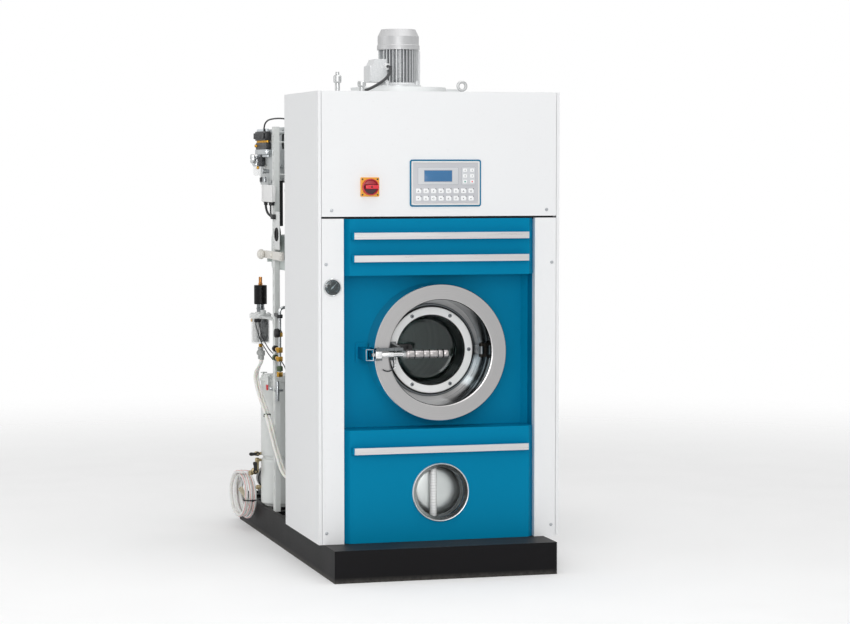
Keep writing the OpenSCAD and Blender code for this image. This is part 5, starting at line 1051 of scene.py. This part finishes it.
# nickel plate: softly bright, slightly warm
fitting_plate = metal("nickel_plate", "#b3b6b8", 0.3, "cast", 3.0, 0.2, 0.08)
piece("pneumatic_board_screws", fitting_plate)
block((-420, 160, 1298.3), (-409.4, 344, 1360.7), 2.5, 3)
block((-425.2, 158.5, 1297), (-420, 345.5, 1362), 2.2, 3)
for y in (168, 336):
    for z in (1305, 1354):
        turned([(0, -2.2), (3, -2.2), (3.6, -1.6), (3.6, 0.4)], (-425.2, y, z), "X", 12)
piece("junction_box", coated("white_box_polycarbonate", "#eeeeed", 0.3, 2.0, 0.06, 0.02, coat=0.15))
for y in (310, 222, 186):
    solid([(6, -14), (7.5, -12), (7.5, -4), (9, -4), (9, 0.5)], (-416, y, 1298), "Z", 6)
block((-424, 150, 1233), (-408.2, 190, 1251), 2)
piece("junction_glands", black_sleeve)
lead = smoothed([(-416, 222, 1284), (-416, 222, 1272), (-416.5, 220, 1261), (-417, 213, 1251),
    (-417, 204, 1245), (-417, 196, 1242.5), (-417, 189, 1242)], 4)
cord("junction_lead_short", lead, 7, sheath)
over = smoothed([(-424, 300, 1567), (-424, 299, 1580), (-422, 290, 1596), (-416, 266, 1608),
    (-406, 226, 1613), (-392, 172, 1614), (-378, 116, 1611), (-364, 62, 1606), (-352, 22, 1600),
    (-345, -4, 1592), (-343, -14, 1583.2)], 4)
cord("solenoid_lead", over, 6, sheath)

pitch, first_y = 190 / 8, 268
block((px_face - 24.3, 262, 1478), (px_face - 0.3, 462, 1498), 1.5)
for i in range(8):
    y = first_y + pitch * (i + 0.5) - 2
    turned([(0, 66), (5.5, 66), (6.5, 64), (6.5, 57), (8, 56.8), (8, 54)], (px_face - 14, y, 1511), "Z",
        6)
    turned([(5, -12), (7, -13), (7, -20), (5, -22), (0, -22)], (px_face - 12, y, 1490), "Z", 12)
manifold = piece("valve_manifold", metal("milled_aluminium", "#c4c8cb", 0.3, "y", 3.0, 0.12, 0.06))
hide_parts("solenoid_valves")
for i in range(8):
    y = first_y + pitch * i
    block((px_face - 23, y + 0.5, 1498.2), (px_face - 3, y + pitch - 4, 1524), 1.5)
    block((px_face - 26, y + 1.5, 1532), (px_face - 2, y + pitch - 5, 1567), 3, 3)
    block((px_face - 33, y + 4, 1538), (px_face - 26, y + pitch - 8, 1561), 2)
piece("valve_coils", coated("black_coil_resin", "#232426", 0.36, 2.5, 0.15, 0.12, 0.1))
for i in range(8):
    y = first_y + pitch * (i + 0.5) - 2
    solid([(7.5, 0.2), (7.5, 7.8)], (px_face - 14, y, 1524), "Z", 16)
    turned([(4.4, 0), (5.6, -1), (5.6, -9), (0, -9)], (px_face - 12, y, 1478), "Z", 6)
solid([(5, -30), (6, -28), (6, -16)], (px_face - 2, 430, 1512), "X", 12)
turned([(4, -12), (6, -13), (6, -22), (4, -24), (0, -24)], (px_face - 22, 417, 1446), "Z", 12)
piece("valve_brass", metal("valve_brass", "#c9963c", 0.26, "cast", 2.0, 0.15, 0.06))
regulator_at = (px_face - 22.3, 448, 0)
dial_at = (px_face - 38, 424, 1462)
solid([(7, 1474), (8, 1472), (8, 1465), (13, 1463), (14.5, 1460), (14.5, 1446), (16, 1444), (16, 1438),
    (12, 1434), (12, 1431.8)], regulator_at, "Z", 28)
solid([(10, -2), (10, 12), (8, 22)], (px_face - 22, 448, 1451), "X", 20)
turned([(7, -12), (7, -30), (9, -31), (9, -34), (0, -34)], (px_face - 22, 448, 1453), "Y", 16)
turned([(16, -9), (17.5, -10), (18.5, -8), (18.5, 2), (16, 4), (0, 4)], dial_at, "X", 32)
piece("regulator_body", chrome)
solid([(16.2, -8), (16.2, -6)], dial_at, "X", 32)
piece("regulator_dial", coated("white_dial_print", "#eceeee", 0.35, 1.5, 0.03, 0.03))
turned([(0, 1396), (6, 1396.5), (10, 1399), (12, 1404), (12.5, 1431.6), (0, 1431.6)], regulator_at, "Z",
    28)
turned([(0, 40), (9, 42), (11, 48), (11, 80), (0, 80)], filter_at, "Z", 24)
piece("regulator_bowl", bowl)
solid([(12, 80.2), (13, 82), (13, 96), (11, 99), (6, 100), (6, 126)], filter_at, "Z", 24)
block((px_face - 26, 388, 1438), (px_face - 0.4, 432, 1470), 3)
turned([(0, 20), (8, 22), (8, 37), (0, 40)], filter_at, "Z", 20)
piece("filter_regulator_heads", coated("dark_grey_polyamide", "#3b3d40", 0.4, 2.0, 0.1, 0.1))

# ---------------------------------------------------------------------------------------------
# Beside the post: the slotted black cable duct on the air casing, a pale bracket plate with a
# black rubber grommet, a white enamelled service cover, and the red tagged drain plug below.
# ---------------------------------------------------------------------------------------------
block((-373, 300, 1203), (-350.4, 372, 1378), 2)
for k in range(11):
    block((-375, 304, 1210 + 15 * k), (-373, 368, 1218 + 15 * k), 0.6, 1)
piece("cable_duct", coated("black_duct_pvc", "#26282a", 0.34, 2.0, 0.08, 0.1, coat=0.1))
block((-411.2, 92, 1118), (-408.6, 189.6, 1262), 1)
block((-411.2, 186, 1118), (-408.3, 212, 1142), 1)
block((-411.2, 186, 1236), (-408.3, 212, 1262), 1)
for z in (1130, 1249):
    turned([(0, -2), (4, -2), (4.6, -1.2), (4.6, 0.4)], (-411.2, 200, z), "X", 12)
piece("grommet_plate", white_enamel)
ring([(15, -5), (19, -6.5), (24, -5.5), (26, -2), (26, -0.2), (15, -0.2)], (-411.2, 132, 1176), "X", 36)
solid([(15.2, -1.2), (15.2, -0.2)], (-411.2, 132, 1176), "X", 36)
piece("rubber_grommet", black_rubber)
block((-354.5, 60, 1330), (-350.4, 250, 1560), 1.5)
block((-357, 96, 1470), (-354.5, 214, 1545), 1)
for y in (68, 242):
    for z in (1340, 1550):
        turned([(0, -3), (4, -3), (5, -2), (5, 0.4)], (-354.5, y, z), "X", 12)
piece("casing_service_cover", coated("white_cover_enamel", "#e9ebea", 0.35, 3.0, 0.06, 0.02, coat=0.05))
block((-424, 262, 574), (-419, 286, 594), 1.2)
piece("red_drain_tag", coated("red_tag_print", "#d2232a", 0.4, 1.5, 0.03, 0.04))
turned([(0, -34), (5, -34), (7, -31), (7, -22), (10, -20), (10, -8), (6, -6), (6, 0)], (-388, 240, 582),
    "X", 16)
solid([(9, -9), (11, -6), (11, 6), (9, 9)], (-414, 128, 585), "Y", 20)
turned([(6, -40), (8, -38), (8, 30), (6, 36), (0, 36)], (-414, 122, 585), "Z", 16)
turned([(5, 0), (5, 18), (0, 18)], (-408, 134, 585), "X", 12)
piece("drain_plug_steel", fitting_plate)

# ---------------------------------------------------------------------------------------------
# Black cable tie that holds the coiled drain hose's turns together on the side of the machine.
# Moulded polyamide: a strap pulled tight round the turns, with its lock on the front.
# ---------------------------------------------------------------------------------------------
tie_at = coil_at + near * 74 - up * 14
ring([(25.3, -2.6), (27, -2.6), (27, 2.6), (25.3, 2.6)], tuple(tie_at), "Z", 24)
block(tuple(tie_at + near * 30 - Vector((4, 4, 4))), tuple(tie_at + near * 30 + Vector((4, 4, 4))), 1)
piece("hose_coil_tie", black_sleeve)

# ---------------------------------------------------------------------------------------------
# Lint filter's latch bar: ivory painted casting on a pivot, thick at the boss, with a turned knob.
# It turns up about its pivot screw to free the lint filter's cover.
# ---------------------------------------------------------------------------------------------
bar_z = 1095
under = [(20, -13), (34, -17), (60, -16), (190, -15), (336, -14), (347, -8)]
outline = under + [(350, 0)] + [(y, -z) for y, z in reversed(under)]
base = form.faces.new([form.verts.new(Vector((-408.5, y, bar_z + z)) * MM) for y, z in outline])
extrude([base], (-11.5, 0, 0))
soften([e for e in form.edges if all(v.co.x < -0.419 for v in e.verts)], 2, 3)
solid([(8, -16.5), (11, -15), (12, -13), (12, -10)], (-409, 34, bar_z), "X", 32)
solid([(6, -18), (9, -16), (10, -14), (10, -10)], (-409, 190, bar_z), "X", 32)
turned([(0, -37), (7, -36.4), (13, -33.5), (17.5, -28.5), (19.4, -22), (19.4, -18), (17.8, -14),
    (14, -11.5), (0, -11.5)], (-409, 334, bar_z), "X", 40)
bar = piece("latch_bar_casting", coated("ivory_bar_paint", "#e4e1da", 0.36, 2.0, 0.12, 0.04, 0.15,
    0.05), "lint_bar")
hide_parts("latch_bar")

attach(hose, "machine")
